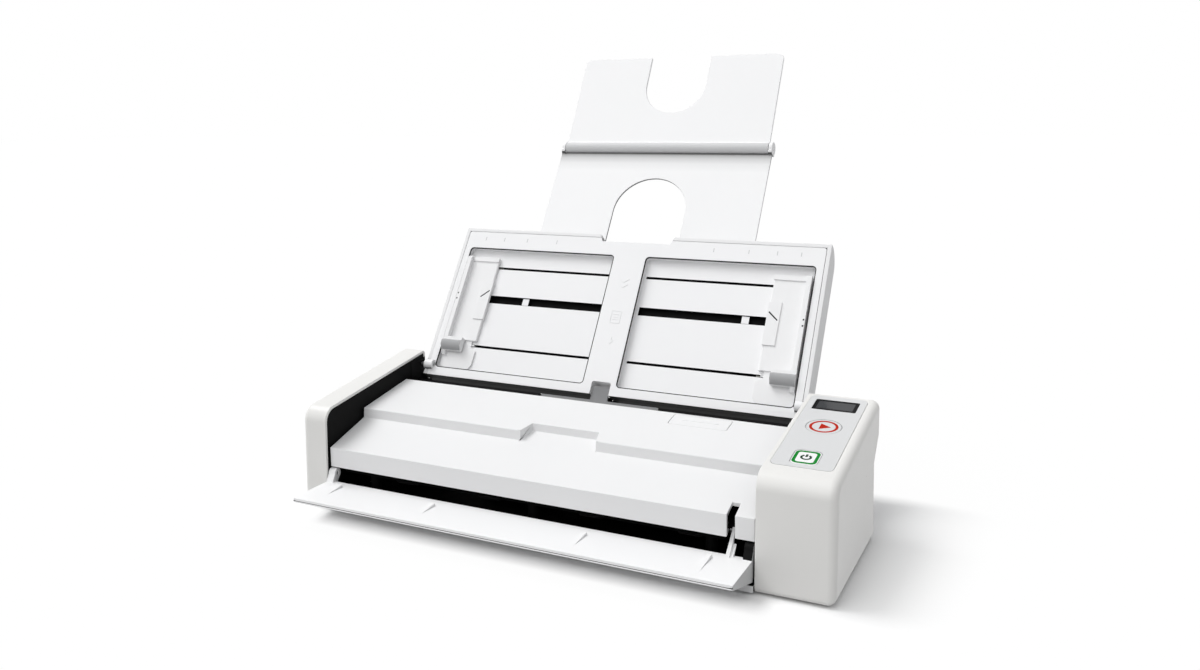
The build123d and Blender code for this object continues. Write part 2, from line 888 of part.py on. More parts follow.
def gear_bracket():
    """Steel plate outside the gears on three pillars from the inner wall; it carries the motor."""
    outline = [case_point(*corner) for corner in (
        (bracket_front + 16, 6), (bracket_rear, 6), (bracket_rear, 25), (bracket_rear - 6, 27),
        (bracket_front + 15, 45), (bracket_front + 3, 45), (bracket_front, 18),
    )]
    plate = side_slab(outline, bracket_low, bracket_high)
    plate -= x_rod(3.2, bracket_low - 1, bracket_high + 1, *motor_center)
    for place in ((bracket_front + 20, 9.5), (bracket_front + 9, 42.0), (bracket_rear - 3, 9.5)):
        plate += x_rod(2.0, wall_right_inner + plate_wall, bracket_low, *case_point(*place))
    return plate


def drive_motor():
    """Round can motor with a stepped nose bored for its shaft."""
    can = x_rod(motor_radius, bracket_high, bracket_high + motor_length, *motor_center)
    can = fillet(can.edges().group_by(Axis.X)[-1], 1.2)
    nose = x_rod(3.0, bracket_low, bracket_high, *motor_center)
    return can + nose - x_rod(1.5 + pin_clearance, bracket_low - 1, bracket_high + 3.0, *motor_center)


# Control panel
def panel_overlay():
    """The thin cover plate of the controls, open over both keys and the display."""
    sheet = on_slope(panel_face(), -panel_depth, 0)
    for hole in (start_key_face(key_gap), power_key_face(key_gap), display_face(0.05)):
        sheet -= on_slope(hole, -panel_depth - 1, 1)
    return sheet


def display_glass():
    return on_slope(display_face(-0.05), -panel_depth - 0.7, -0.1)


def display_module():
    under = -panel_depth - 0.8
    return on_slope(display_face(-0.4), board_drop, under)


def panel_board():
    """Key board under the panel, against the housing's four bosses."""
    span_x = right_housing_width - panel_left_margin - panel_right_margin - 4.0
    face = Rectangle(span_x, panel_high - panel_low - 8.0)
    face = Pos(panel_center_x, (panel_low + panel_high) / 2) * face
    return on_slope(face, board_drop - 1.6, board_drop)


def key(face, stem_face):
    """A flush key cap with a stem down to its switch."""
    cap = on_slope(face, -shell_wall - 0.4, 0)
    stem = on_slope(stem_face, -5.0, -shell_wall - 0.4)
    return cap + stem


def start_key():
    cap = key(start_key_face(), Pos(panel_center_x, start_key_along) * Circle(2.0))
    ring = Pos(panel_center_x, start_key_along) * (Circle(6.9) - Circle(6.1))
    return cap - on_slope(ring, -0.15, 1)


def power_key():
    cap = key(power_key_face(), Pos(panel_center_x, power_key_along) * Circle(2.0))
    rim = power_key_face(-1.0) - power_key_face(-1.7)
    return cap - on_slope(rim, -0.15, 1)


def key_switches():
    """Two small switches on the key board, just under the stems."""
    switches = []
    for along in (start_key_along, power_key_along):
        body = on_slope(Pos(panel_center_x, along) * RectangleRounded(5, 5, 0.6), board_drop, -5.6)
        switches.append(body)
    return Compound(switches)


# Paper cover
def cover_outline(inset=0.0):
    """The cover's side outline: a low front step, a high rear step and the flat underside."""
    under = paper_gap + guide_wall - 0.3
    points = [
        path_point(cover_front_back + 1.0, under),
        case_point(cover_front_back, cover_lip_up),
        case_point(step_back - 0.4, step_foot_up),
        case_point(step_back, step_top_up),
        case_point(cover_rear_back, cover_rear_up),
        case_point(cover_rear_back + 2.0, cover_rear_up - 2.0),
        path_point(cover_rear_back + 3.4, under),
    ]
    face = make_face(Polyline(*points, close=True))
    if inset:
        face = offset(face, amount=-inset, kind=Kind.INTERSECTION)
    return face


def cover_slab(x_low, x_high, inset=0.0):
    return Pos(x_low, 0, 0) * extrude(Plane.YZ * cover_outline(inset), x_high - x_low)


def finger_notch(grow=0.0):
    """The finger recess in the step: a flared plan standing on the lower step's plane."""
    rise = (step_foot_up - cover_lip_up) / (step_back - cover_front_back)
    y_low = back(step_back) - 2.0
    y_high = back(step_back + finger_depth) + grow
    plan = Polygon(
        (finger_center_x - finger_front_width / 2 - grow, y_low),
        (finger_center_x + finger_front_width / 2 + grow, y_low),
        (finger_center_x + finger_back_width / 2 + grow, y_high),
        (finger_center_x - finger_back_width / 2 - grow, y_high),
        align=None,
    )
    tower = extrude(plan, up(90))
    floor_low = cover_lip_up - rise * cover_front_back - grow
    ground = side_slab(
        [
            case_point(0, floor_low),
            case_point(depth, floor_low + rise * depth),
            case_point(depth, rear_height + 40),
            case_point(0, rear_height + 40),
        ],
        finger_center_x - finger_front_width,
        finger_center_x + finger_front_width,
    )
    return tower & ground


def arm_center_x():
    return housing_seam_right - 12.3


def release_face(grow=0.0):
    """The release button's outline in the upper plateau's plane."""
    return Pos(release_center_x, release_ridge_along()) * RectangleRounded(
        release_width + 2 * grow, release_depth + 2 * grow, 1.6 + grow
    )


def on_cover(face, low, high):
    return cover_plane.location * Pos(0, 0, low) * extrude(face, high - low)


def paper_cover():
    """Moulded cover: hollow from below, with the finger recess, the arm slot in its lip and the
    release button's well."""
    shell = cover_slab(lid_left, lid_right)
    top_edges = shell.edges().filter_by(Axis.X).group_by(Axis.Z)
    shell = fillet(top_edges[-1], 1.2)
    step_edge = [
        e for e in shell.edges().filter_by(Axis.X)
        if abs(e.center().Y - back(step_back)) < 0.2 and e.center().Z > up(step_top_up) - 0.5
    ]
    shell = fillet(step_edge, 0.8)
    hollow = cover_slab(lid_left + cover_wall, lid_right - cover_wall, cover_wall)
    under = side_slab(
        [
            path_point(cover_front_back + 3.0 + cover_wall, 0),
            path_point(cover_front_back + 3.0 + cover_wall, paper_gap + guide_wall + 3),
            path_point(cover_rear_back, paper_gap + guide_wall + 3),
            path_point(cover_rear_back, 0),
        ],
        lid_left + cover_wall,
        lid_right - cover_wall,
    )
    shell -= hollow + under
    inside = cover_slab(lid_left, lid_right)
    shell += finger_notch(1.4) & inside
    shell -= finger_notch()
    arm_x = arm_center_x()
    shell -= block(arm_x - arm_slot_width / 2, arm_x + arm_slot_width / 2,
                   back(0), back(cover_front_back + arm_slot_depth), up(10), up(60))
    shell -= on_cover(release_face(0.3), -cover_wall - 3, 3)
    for side, x in ((-1, lid_left), (1, lid_right)):
        low, high = sorted((x - side * (cover_wall + 4), x))
        shell += x_rod(cover_pin_radius + 2.0, low, high, *cover_pivot) & inside
        shell -= x_rod(cover_pin_radius + 0.02, low - 1, high + 1, *cover_pivot)
    return shell


def cover_hinge_pins():
    pins = []
    for side, x, wall in ((-1, lid_left, wall_left_inner), (1, lid_right, wall_right_inner)):
        low, high = sorted((x - side * 4.0, wall + side * (plate_wall + 1.0)))
        pins.append(x_rod(cover_pin_radius, low, high, *cover_pivot))
    return Compound(pins)


def release_button():
    """Button flush with the cover, with a grip ridge and two guide legs."""
    cap = on_cover(release_face(), -2.2, 0)
    ridge = Pos(release_center_x, release_ridge_along()) * SlotOverall(release_width * 0.62, 1.4)
    cap += on_cover(ridge, 0, 0.45)
    for side in (-1, 1):
        leg = Pos(release_center_x + side * release_width * 0.32, release_ridge_along()) * Rectangle(3, 4)
        cap += on_cover(leg, -5.0, -2.2)
    return cap


def release_ridge_along():
    reach = hypot(cover_rear_back - step_back, cover_rear_up - step_top_up)
    return reach - 1.4 - release_depth / 2


def upper_paper_guide():
    """The underside of the cover: a black plate with windows for the pinch rollers and the upper
    sensor, and the ears that carry the pinch rollers."""
    points = [
        path_point(cover_front_back + 3.4, paper_gap + guide_wall - 0.5),
        path_point(cover_front_back + 3.4, paper_gap + 1.4),
        path_point(cover_front_back + 7.0, paper_gap),
        path_point(cover_rear_back, paper_gap),
        path_point(cover_rear_back + 2.4, paper_gap + 1.0),
        path_point(cover_rear_back + 2.4, paper_gap + guide_wall - 0.5),
    ]
    plate = side_slab(points, lid_left + 0.2, lid_right - 0.2)
    plate -= window_on_path(upper_sensor_along, sensor_width + 1, sensor_span() + 1)
    for x, half in feed_roller_places():
        plate -= window_at(feed_center, x, half + 1, 5.6)
    for x, half in exit_roller_places():
        plate -= window_at(exit_center, x, half + 1, 5.6)
    arm_x = arm_center_x()
    plate -= block(arm_x - 3.4, arm_x + 3.4, back(0), back(cover_front_back + arm_slot_depth + 1),
                   up(0), up(60))
    for center, places in ((feed_pinch, feed_roller_places()), (exit_pinch, exit_roller_places())):
        for x in pinch_ear_places(list(places)):
            plate += Pos(x, *center) * Rot(path_angle, 0, 0) * Pos(0, 0, -0.8) * Box(2.4, 6.4, 5.6)
            plate -= x_rod(pinch_shaft_radius + pin_clearance, x - 3, x + 3, *center)
    return plate


def pinch_ear_places(places):
    first = places[0][0] - places[0][1] - 4.0
    last = places[-1][0] + places[-1][1] + 4.0
    if len(places) > 2:
        return (first, (places[1][0] + places[2][0]) / 2, last)
    return (first, last)


def pinch_rollers(center, places):
    """Pinch axle with its rollers, turned from one piece."""
    places = list(places)
    ears = pinch_ear_places(places)
    axle = x_rod(pinch_shaft_radius, ears[0] - 2.5, ears[-1] + 2.5, *center)
    for x, half in places:
        wheel = x_rod(pinch_radius, x - half + 1, x + half - 1, *center)
        wheel = chamfer(wheel.edges().group_by(Axis.X)[0], 0.4)
        axle += wheel
    return axle


def feed_pinch_roller():
    return pinch_rollers(feed_pinch, feed_roller_places())


def exit_pinch_roller():
    return pinch_rollers(exit_pinch, exit_roller_places())


# Input tray, modelled flat: X across, Y up the slope, Z out of the paper side
def in_tray(solid):
    return tray_plane.location * solid


def slot_spans(low, high):
    """The floor slots on both sides of the rail, at one height."""
    for side in (-1, 1):
        x_low, x_high = sorted((side * slot_inner, side * slot_outer))
        yield x_low, x_high, low, high


def tray_face_plate():
    """The paper side: a rimmed plate with two sunk fields, a centre rail, the guide slots and a
    low bridge across each half of the wide slot."""
    half = face_half_width
    thick = tray_front_thickness
    plate = block(-half, half, 0, tray_length - face_inset, -thick, 0)
    plate = fillet(plate.edges().filter_by(Axis.Z).group_by(Axis.Y)[-1], 1.6)
    for side in (-1, 1):
        x_low, x_high = sorted((side * rail_half_width, side * (half - tray_rim)))
        field = Pos((x_low + x_high) / 2, (tray_recess_bottom + tray_recess_top) / 2) * RectangleRounded(
            x_high - x_low, tray_recess_top - tray_recess_bottom, 2.5
        )
        plate -= Pos(0, 0, -tray_recess_depth) * extrude(field, tray_recess_depth + 1)
    for middle in (thin_slot_low, thin_slot_high):
        for span in slot_spans(middle - thin_slot / 2, middle + thin_slot / 2):
            plate -= block(*span, -thick - 1, 0)
    for span in slot_spans(wide_slot_low, wide_slot_high):
        plate -= block(*span, -thick - 1, 0)
    for x in bridge_places:
        plate += block(x - 2.4, x + 2.4, wide_slot_low - 0.5, wide_slot_high + 0.5,
                       -thick, -tray_recess_depth - 0.6)
    plate -= entry_notch(-thick - 1, 1)
    plate -= grip_cutout(-thick - 1, 1)
    for side in (-1, 1):
        low, high = sorted((side * (half - 3.4), side * (tray_half_width - 0.1)))
        plate += x_rod(tray_boss_radius, low, high, tray_pin_along, -tray_pin_behind)
        plate -= x_rod(tray_pin_radius + 0.02, low - 1, high + 1, tray_pin_along, -tray_pin_behind)
    return in_tray(plate)


def entry_notch(low, high):
    """The notch in the tray's lower edge, round the feed plate's tab."""
    notch = Pos(entry_center_x - paper_center_x, 3.4) * RectangleRounded(
        2 * (tab_half_width + 0.6), 9.2, 1.2
    )
    return Pos(0, 0, low) * extrude(notch, high - low)


def grip_cutout(low, high):
    """The bevelled cut-out in the tray's free edge, where fingers reach the extension."""
    outline = Polygon((-25, tray_length + 1), (-22.5, tray_length - 5), (22.5, tray_length - 5),
                      (25, tray_length + 1), align=None)
    return Pos(grip_offset_x, 0, low) * extrude(outline, high - low)


def tray_back_section():
    """The back shell's side outline, largely rounded at the free end."""
    face = Pos(tray_length / 2, -tray_thickness / 2) * Rectangle(tray_length, tray_thickness)
    back_corners = face.vertices().group_by(Axis.Y)[0].sort_by(Axis.X)
    face = fillet(back_corners[-1], tray_end_radius)
    back_corners = face.vertices().group_by(Axis.Y)[0].sort_by(Axis.X)
    return fillet(back_corners[0], 3.0)


def tray_back_shell():
    """The back of the tray: a tub round the face plate, with the racks' chamber, the extension's
    channel with side lips, and the well for the folded leaf."""
    half = tray_half_width
    shell = Pos(-half, 0, 0) * extrude(Plane.YZ * tray_back_section(), 2 * half)
    pocket = face_half_width + 0.1
    shell -= block(-pocket, pocket, -1, tray_length - face_inset + 0.1, -tray_front_thickness, 1)
    shell -= block(-chamber_half_width, chamber_half_width, chamber_low, chamber_high, web_back, 0)
    center = ext_offset_x
    channel = ext_half_width + 0.4
    low = ext_low - ext_travel - 1.0
    shell -= block(center - channel, center + channel, low, tray_length + 1,
                   ext_back - 0.2, ext_front + 0.2)
    well = leaf_half_width + 0.6
    well_low = ext_axis_along - ext_travel - leaf_length - 2.0
    shell -= block(center - well, center + well, well_low, tray_length + 1, -tray_thickness - 1, ext_back)
    bar_low = ext_axis_along - ext_travel - ext_bar_radius - 2.3
    shell -= block(center - channel, center + channel, bar_low, tray_length + 1,
                   -tray_thickness - 1, -tray_front_thickness - 0.5)
    shell -= entry_notch(-tray_thickness - 1, 1)
    shell -= grip_cutout(-tray_thickness - 1, 1)
    for side in (-1, 1):
        low_x, high_x = sorted((side * (face_half_width - 5), side * (half + 1)))
        shell -= x_rod(tray_boss_radius + 0.2, low_x, high_x, tray_pin_along, -tray_pin_behind)
    return in_tray(shell)


def rack_bed():
    """Dark plate behind the racks, resting on the back shell's ledges, with the pinion's post."""
    x_half = chamber_half_width - 0.2
    plate = block(-x_half, x_half, chamber_low + 0.2, chamber_high - 0.2, web_back, web_front)
    post = Cylinder(pinion_post_radius, rack_thickness + sliding_gap + 0.2,
                    align=(Align.CENTER, Align.CENTER, Align.MIN))
    plate += Pos(0, rack_center, web_front) * post
    return in_tray(plate)


def tray_hinge_pins():
    pins = []
    for side, wall in ((-1, wall_left_inner), (1, wall_right_inner)):
        start = paper_center_x + side * (face_half_width - 2.0)
        low, high = sorted((start, wall + side * (plate_wall + 1.0)))
        pins.append(x_rod(tray_pin_radius, low, high, *tray_pivot))
    return Compound(pins)


def mirrored(side, points):
    return [(side * x, y) for x, y in points]


def guide_body(side):
    """A paper guide: support wing, upright fence, finger pad with a slanting grip line, the hood
    over the fence's foot and the foot plate under the hood."""
    floor = -tray_recess_depth + 0.2
    wing_top = floor + 2.0
    fence_in = fence_half_spacing
    fence_out = fence_half_spacing + fence_wall
    x_low, x_high = sorted((side * flange_inner, side * (fence_in + 0.2)))
    body = block(x_low, x_high, guide_low, guide_high, floor, wing_top)
    rims = body.edges().filter_by(Axis.Y).group_by(Axis.Z)[-1].sort_by(Axis.X)
    body = fillet(rims[0 if side > 0 else -1], 0.8)
    foot = Polygon(*mirrored(side, [
        (fence_out, 7.0), (flange_inner + 1.2, 7.0), (flange_inner - 0.8, 10.0),
        (flange_inner - 0.8, 19.5), (flange_inner + 3.2, 22.0), (flange_inner + 3.2, 26.5),
        (fence_out, 26.5),
    ]), align=None)
    body += raised(foot, floor, floor + 1.0)
    x_low, x_high = sorted((side * fence_in, side * fence_out))
    body += side_slab(
        [(15.0, floor), (guide_high, floor), (guide_high, 0.4), (guide_high - 1.4, fence_proud),
         (20.0, fence_proud), (15.0, -1.2)],
        x_low, x_high,
    )
    x_low, x_high = sorted((side * flange_inner, side * fence_out))
    body += block(x_low, x_high, guide_high - 3.0, guide_high, floor, wing_top + 0.8)
    x_low, x_high = sorted((side * (flange_inner + 8.2), side * fence_out))
    body += side_slab(
        [(17.6, wing_top - 0.4), (26.4, wing_top - 0.4), (26.4, fence_proud), (24.4, fence_proud),
         (23.4, 3.2), (20.4, 3.2), (17.6, 0.8)],
        x_low, x_high,
    )
    pad = Polygon(*mirrored(side, [
        (flange_inner - 0.5, 41.0), (flange_inner + 7.0, 41.0), (flange_inner + 7.0, 68.0),
        (flange_inner - 0.5, 68.0),
    ]), align=None)
    body += raised(pad, floor + 0.5, floor + 2.7)
    groove = Pos(side * (flange_inner + 3.2), 59.0) * SlotOverall(7.5, 0.7, rotation=side * -42)
    body -= raised(groove, floor + 2.2, floor + 4)
    return body


def guide(side):
    """The guide with its two keels through the thin slots."""
    body = guide_body(side)
    for along in (thin_slot_low, thin_slot_high):
        x_low, x_high = sorted((side * keel_inner, side * keel_outer))
        body += block(x_low, x_high, along - thin_slot / 2 + 0.15, along + thin_slot / 2 - 0.15,
                      rack_front, -tray_recess_depth + 0.6)
    return in_tray(body)


def guide_clip(side):
    """The foot that holds the keel without a rack under the floor."""
    along = thin_slot_low if side < 0 else thin_slot_high
    x_low, x_high = sorted((side * keel_inner, side * keel_outer))
    clip = block(x_low, x_high, along - 3.0, along + 3.0, rack_back, rack_front)
    return in_tray(fillet(clip.edges().filter_by(Axis.Z), 0.8))


def left_paper_guide():
    return guide(-1)


def right_paper_guide():
    return guide(1)


def rack(side):
    """The toothed bar of one guide, with the plate that joins it to the guide's keel. The left
    guide's rack runs above the pinion, the right one's below it."""
    up_sign = -side
    module = pinion_module
    line = rack_center + up_sign * pinion_radius
    crest = line - up_sign * 0.7 * module
    valley = line + up_sign * 1.15 * module
    outer = valley + up_sign * rack_width
    keel_along = thin_slot_high if side < 0 else thin_slot_low
    x_low, x_high = sorted((side * (keel_outer + 2.0), -side * 7.0))
    bar = block(x_low, x_high, *sorted((valley, outer)), rack_back, rack_front)
    pitch = pi * module
    flank = tan(radians(20))
    half_valley = pitch / 4 - 0.08 + 1.15 * module * flank
    half_crest = pitch / 4 - 0.08 - 0.7 * module * flank
    for index in range(-int((guide_travel + 14) / pitch), 3):
        x = -side * index * pitch
        if x_low + 1.6 < x < x_high - 1.6:
            tooth = Polygon((x - half_valley, valley), (x - half_crest, crest),
                            (x + half_crest, crest), (x + half_valley, valley), align=None)
            bar += raised(tooth, rack_back, rack_front)
    joint_low, joint_high = sorted((valley, keel_along + up_sign * 3.0))
    x_low, x_high = sorted((side * (keel_outer + 2.0), side * (keel_inner - 3.0)))
    bar += block(x_low, x_high, joint_low, joint_high, rack_back, rack_front)
    return in_tray(bar)


def left_guide_rack():
    return rack(-1)


def right_guide_rack():
    return rack(1)


def guide_pinion():
    """Small spur gear behind the centre rail, turned so that gaps face both racks' teeth."""
    wheel = gear(pinion_teeth, pinion_module, rack_thickness - 0.1, pinion_post_radius + pin_clearance,
                 0.2, phase=90 + 180 / pinion_teeth)
    return in_tray(Pos(0, rack_center, rack_back) * Rot(0, -90, 0) * wheel)


def tray_extension():
    """First stage: a thin sheet with an arched window that slides in the tray's back, with two
    ears for the leaf's hinge."""
    sheet = Pos(0, (ext_low + ext_high) / 2) * RectangleRounded(
        2 * ext_half_width, ext_high - ext_low, 1.0
    )
    arch_center = window_top - window_half_width
    window = Pos(0, arch_center) * Circle(window_half_width)
    window += Pos(0, (window_low + arch_center) / 2) * Rectangle(
        2 * window_half_width, arch_center - window_low
    )
    body = Pos(0, 0, ext_back) * extrude(sheet - window, ext_thickness)
    body = Pos(ext_offset_x, 0, 0) * body
    bore = ext_pin_radius + 0.02
    for side in (-1, 1):
        x_low, x_high = sorted((
            ext_offset_x + side * (leaf_half_width + sliding_gap),
            ext_offset_x + side * ext_ear_half,
        ))
        arm = [(ext_ear_start, ext_back), (ext_ear_start + 2.4, ext_axis_n - ext_bar_radius + 0.3),
               (ext_axis_along, ext_axis_n - 2), (ext_axis_along, ext_axis_n + 2),
               (ext_ear_start + 2.4, ext_axis_n + ext_bar_radius - 0.3), (ext_ear_start, ext_front)]
        body += side_slab(arm, x_low, x_high)
        body += x_rod(ext_bar_radius, x_low, x_high, ext_axis_along, ext_axis_n)
        body -= x_rod(bore, x_low - 1, x_high + 1, ext_axis_along, ext_axis_n)
    inner = leaf_half_width + sliding_gap
    body -= x_rod(ext_bar_radius + running_gap, ext_offset_x - inner, ext_offset_x + inner,
                  ext_axis_along, ext_axis_n)
    return in_tray(body)


def extension_hinge_pin():
    pin = x_rod(ext_pin_radius, ext_offset_x - ext_ear_half, ext_offset_x + ext_ear_half,
                ext_axis_along, ext_axis_n)
    return in_tray(pin)


def extension_leaf():
    """Second stage: the leaf with its rounded notch, on a round bar that turns in the ears."""
    outline = Pos(0, leaf_length / 2) * Rectangle(2 * leaf_half_width, leaf_length)
    outline = fillet(outline.vertices().group_by(Axis.Y)[-1], leaf_corner)
    notch_center = leaf_notch_bottom + leaf_notch_half
    notch = Pos(0, notch_center) * Circle(leaf_notch_half)
    notch += Pos(0, notch_center + 30) * Rectangle(2 * leaf_notch_half, 60)
    sheet = Pos(0, 0, leaf_setback) * extrude(outline - notch, leaf_thickness)
    leaf = sheet + x_rod(ext_bar_radius, -leaf_half_width, leaf_half_width, 0, 0)
    leaf -= x_rod(ext_pin_radius + pin_clearance, -leaf_half_width - 1, leaf_half_width + 1, 0, 0)
    return in_tray(Pos(ext_offset_x, ext_axis_along, ext_axis_n) * Rot(leaf_lean, 0, 0) * leaf)


# Output flap
def output_flap():
    """Wedge-shaped flap with a lipped top plate, four moulded ribs, knuckles and the upright arm."""
    low_x = cover_seam_left + running_gap
    high_x = housing_seam_right - running_gap - 0.5
    top = flap_top_up
    body = side_slab(
        [
            case_point(flap_front_back, top), case_point(flap_root_back, top),
            case_point(flap_root_back, 6.0), case_point(0.5, flap_root_low),
            case_point(flap_front_back, top - flap_front_thickness),
        ],
        low_x, high_x,
    )
    body = fillet(body.edges().filter_by(Axis.Z).group_by(Axis.Y)[0], 1.0)
    groove = side_slab(
        [
            case_point(flap_front_back - 1, top - flap_plate),
            case_point(flap_front_back + 0.3, top - flap_plate),
            case_point(flap_front_back + 0.3, top - flap_plate - 0.3),
            case_point(flap_front_back - 1, top - flap_plate - 0.3),
        ],
        low_x - 1, high_x + 1,
    )
    body -= groove
    body -= side_slab(
        [
            case_point(flap_front_back + 4, top - 1.8), case_point(flap_root_back - 2.0, top - 1.8),
            case_point(flap_root_back - 2.0, 0), case_point(flap_front_back + 4, top - 4.5),
        ],
        low_x + 2.0, high_x - 2.0,
    )
    for x, width, start, end in flap_ribs():
        body += side_slab(
            [case_point(start, top - 0.5), case_point(start, top), case_point(end, top + 1.5),
             case_point(end, top - 0.5)],
            x - width / 2, x + width / 2,
        )
    for x_low, x_high in ((low_x, low_x + 4.4), (high_x - 4.4, high_x)):
        body += x_rod(flap_knuckle_radius, x_low, x_high, *flap_axis)
        body += side_slab(
            [
                case_point(-1.6, top - 1.0), case_point(flap_root_back, top - 4),
                case_point(flap_axis_back + 1.6, flap_axis_up - 2.0),
                case_point(flap_axis_back, flap_axis_up),
                case_point(flap_axis_back - 2.4, flap_axis_up + 0.6),
            ],
            x_low, x_high,
        )
        body -= x_rod(flap_pin_radius + 0.02, x_low - 1, x_high + 1, *flap_axis)
    arm_x = arm_center_x()
    body += side_slab(
        [
            case_point(-2.2, top - 0.5), case_point(1.6, top - 0.5),
            case_point(10.2, top + 10.0), case_point(9.2, top + 10.9),
        ],
        arm_x - 0.9, arm_x + 0.9,
    )
    body += side_slab(
        [case_point(-1.2, top - 0.4), case_point(1.6, top - 0.4), case_point(5.2, top + 4.6)],
        arm_x, arm_x + 2.4,
    )
    return body


def flap_ribs():
    """Middle, width and the front and rear end of each of the four moulded ribs."""
    yield cover_seam_left + 12.2, 4.3, -17.9, -4.4
    yield -58.5, 3.0, -19.0, -5.8
    yield 30.2, 2.4, -20.6, -6.0
    yield housing_seam_right - 19.9, 2.4, -22.5, -4.6


def flap_hinge_pins():
    low_x = cover_seam_left + running_gap
    high_x = housing_seam_right - running_gap - 0.5
    left = x_rod(flap_pin_radius, wall_left_inner - plate_wall - 1.0, low_x + 4.0, *flap_axis)
    right = x_rod(flap_pin_radius, high_x - 4.0, wall_right_inner + plate_wall + 1.0, *flap_axis)
    return Compound([left, right])


nodes = {
    "left_end_cover": left_end_cover,
    "right_end_housing": right_end_housing,
    "left_inner_wall": left_inner_wall,
    "right_inner_wall": right_inner_wall,
    "base_pan": base_pan,
    "rear_cover": rear_cover,
    "rubber_feet": rubber_feet,
    "case_screws": case_screws,
    "main_board": main_board,
    "usb_socket": usb_socket,
    "power_socket": power_socket,
    "lower_paper_guide": lower_paper_guide,
    "feed_pad": feed_pad,
    "lower_image_sensor": lambda: sensor_bar(lower_sensor_along, -1),
    "lower_sensor_glass": lambda: sensor_window(lower_sensor_along, -1),
    "shaft_bushings": shaft_bushings,
    "feed_roller_shaft": feed_roller_shaft,
    "feed_rollers": feed_rollers,
    "feed_gear": feed_gear,
    "exit_roller_shaft": exit_roller_shaft,
    "exit_rollers": exit_rollers,
    "exit_gear": exit_gear,
    "idler_gear": idler_gear,
    "idler_axle": idler_axle,
    "gear_bracket": gear_bracket,
    "drive_motor": drive_motor,
    "motor_pinion": motor_pinion,
    "panel_overlay": panel_overlay,
    "display_glass": display_glass,
    "display_module": display_module,
    "panel_board": panel_board,
    "key_switches": key_switches,
    "start_key": start_key,
    "power_key": power_key,
    "paper_cover": paper_cover,
    "cover_hinge_pins": cover_hinge_pins,
    "release_button": release_button,
    "upper_paper_guide": upper_paper_guide,
    "upper_image_sensor": lambda: sensor_bar(upper_sensor_along, 1),
    "upper_sensor_glass": lambda: sensor_window(upper_sensor_along, 1),
    "feed_pinch_roller": feed_pinch_roller,
    "exit_pinch_roller": exit_pinch_roller,
    "tray_face_plate": tray_face_plate,
    "tray_back_shell": tray_back_shell,
    "tray_hinge_pins": tray_hinge_pins,
    "left_paper_guide": left_paper_guide,
    "right_paper_guide": right_paper_guide,
    "left_guide_rack": left_guide_rack,
    "right_guide_rack": right_guide_rack,
    "left_guide_clip": lambda: guide_clip(-1),
    "right_guide_clip": lambda: guide_clip(1),
    "rack_bed": rack_bed,
    "guide_pinion": guide_pinion,
    "tray_extension": tray_extension,
    "extension_hinge_pin": extension_hinge_pin,
    "extension_leaf": extension_leaf,
    "output_flap": output_flap,
    "flap_hinge_pins": flap_hinge_pins,
}

os.makedirs("parts", exist_ok=True)

for name, make in nodes.items():
    solid = make()
    export_step(solid, f"parts/{name}.step")
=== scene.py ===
import json
import math

import bmesh
import bpy
from mathutils import Matrix, Vector
from mathutils.bvhtree import BVHTree


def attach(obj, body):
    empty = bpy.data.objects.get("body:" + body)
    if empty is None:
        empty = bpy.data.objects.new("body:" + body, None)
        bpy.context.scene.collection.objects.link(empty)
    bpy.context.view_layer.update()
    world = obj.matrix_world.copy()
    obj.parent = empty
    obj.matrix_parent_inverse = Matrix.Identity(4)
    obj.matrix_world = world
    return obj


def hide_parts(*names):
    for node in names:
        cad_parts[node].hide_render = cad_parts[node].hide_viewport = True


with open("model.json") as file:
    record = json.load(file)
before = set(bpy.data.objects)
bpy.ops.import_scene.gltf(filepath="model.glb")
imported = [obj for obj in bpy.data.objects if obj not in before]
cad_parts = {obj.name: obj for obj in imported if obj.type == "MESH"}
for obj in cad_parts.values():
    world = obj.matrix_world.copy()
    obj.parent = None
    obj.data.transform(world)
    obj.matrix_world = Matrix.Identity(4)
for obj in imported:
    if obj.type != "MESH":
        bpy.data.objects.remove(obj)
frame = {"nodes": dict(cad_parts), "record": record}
nodes = frame["nodes"]
bodyOf = {name: body for body, names in frame["record"]["behaviour"]["bodies"].items() for name in names}
slotOf = {part["node"]: part["material_slot"] for part in frame["record"]["subparts"]}
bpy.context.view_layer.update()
mm = 0.001
print("frame loaded:", len(nodes), "nodes")

# places shared with the source, in millimetres and degrees
layout = {
    "caseFront": -103.01,
    "caseDepth": 103.0,
    "footHeight": 1.2,
    "frontHeight": 56.0,
    "panelRise": 15.0,
    "trayFoot": (95.5, 57.2),
    "trayLean": 56.2,
    "trayCentre": -9.0,
}


def leaningPlane(centreX, back, up, lean):
    # x across, y up the slope, z out of the surface
    place = Vector((centreX, layout["caseFront"] + back, layout["footHeight"] + up)) * mm
    return Matrix.Translation(place) @ Matrix.Rotation(math.radians(lean), 4, "X")


panelSlope = math.degrees(math.atan2(layout["panelRise"], layout["caseDepth"]))
panelPlane = leaningPlane(0.0, 0.0, layout["frontHeight"], panelSlope)
trayPlane = leaningPlane(layout["trayCentre"], *layout["trayFoot"], layout["trayLean"])
casePlane = Matrix.Identity(4)


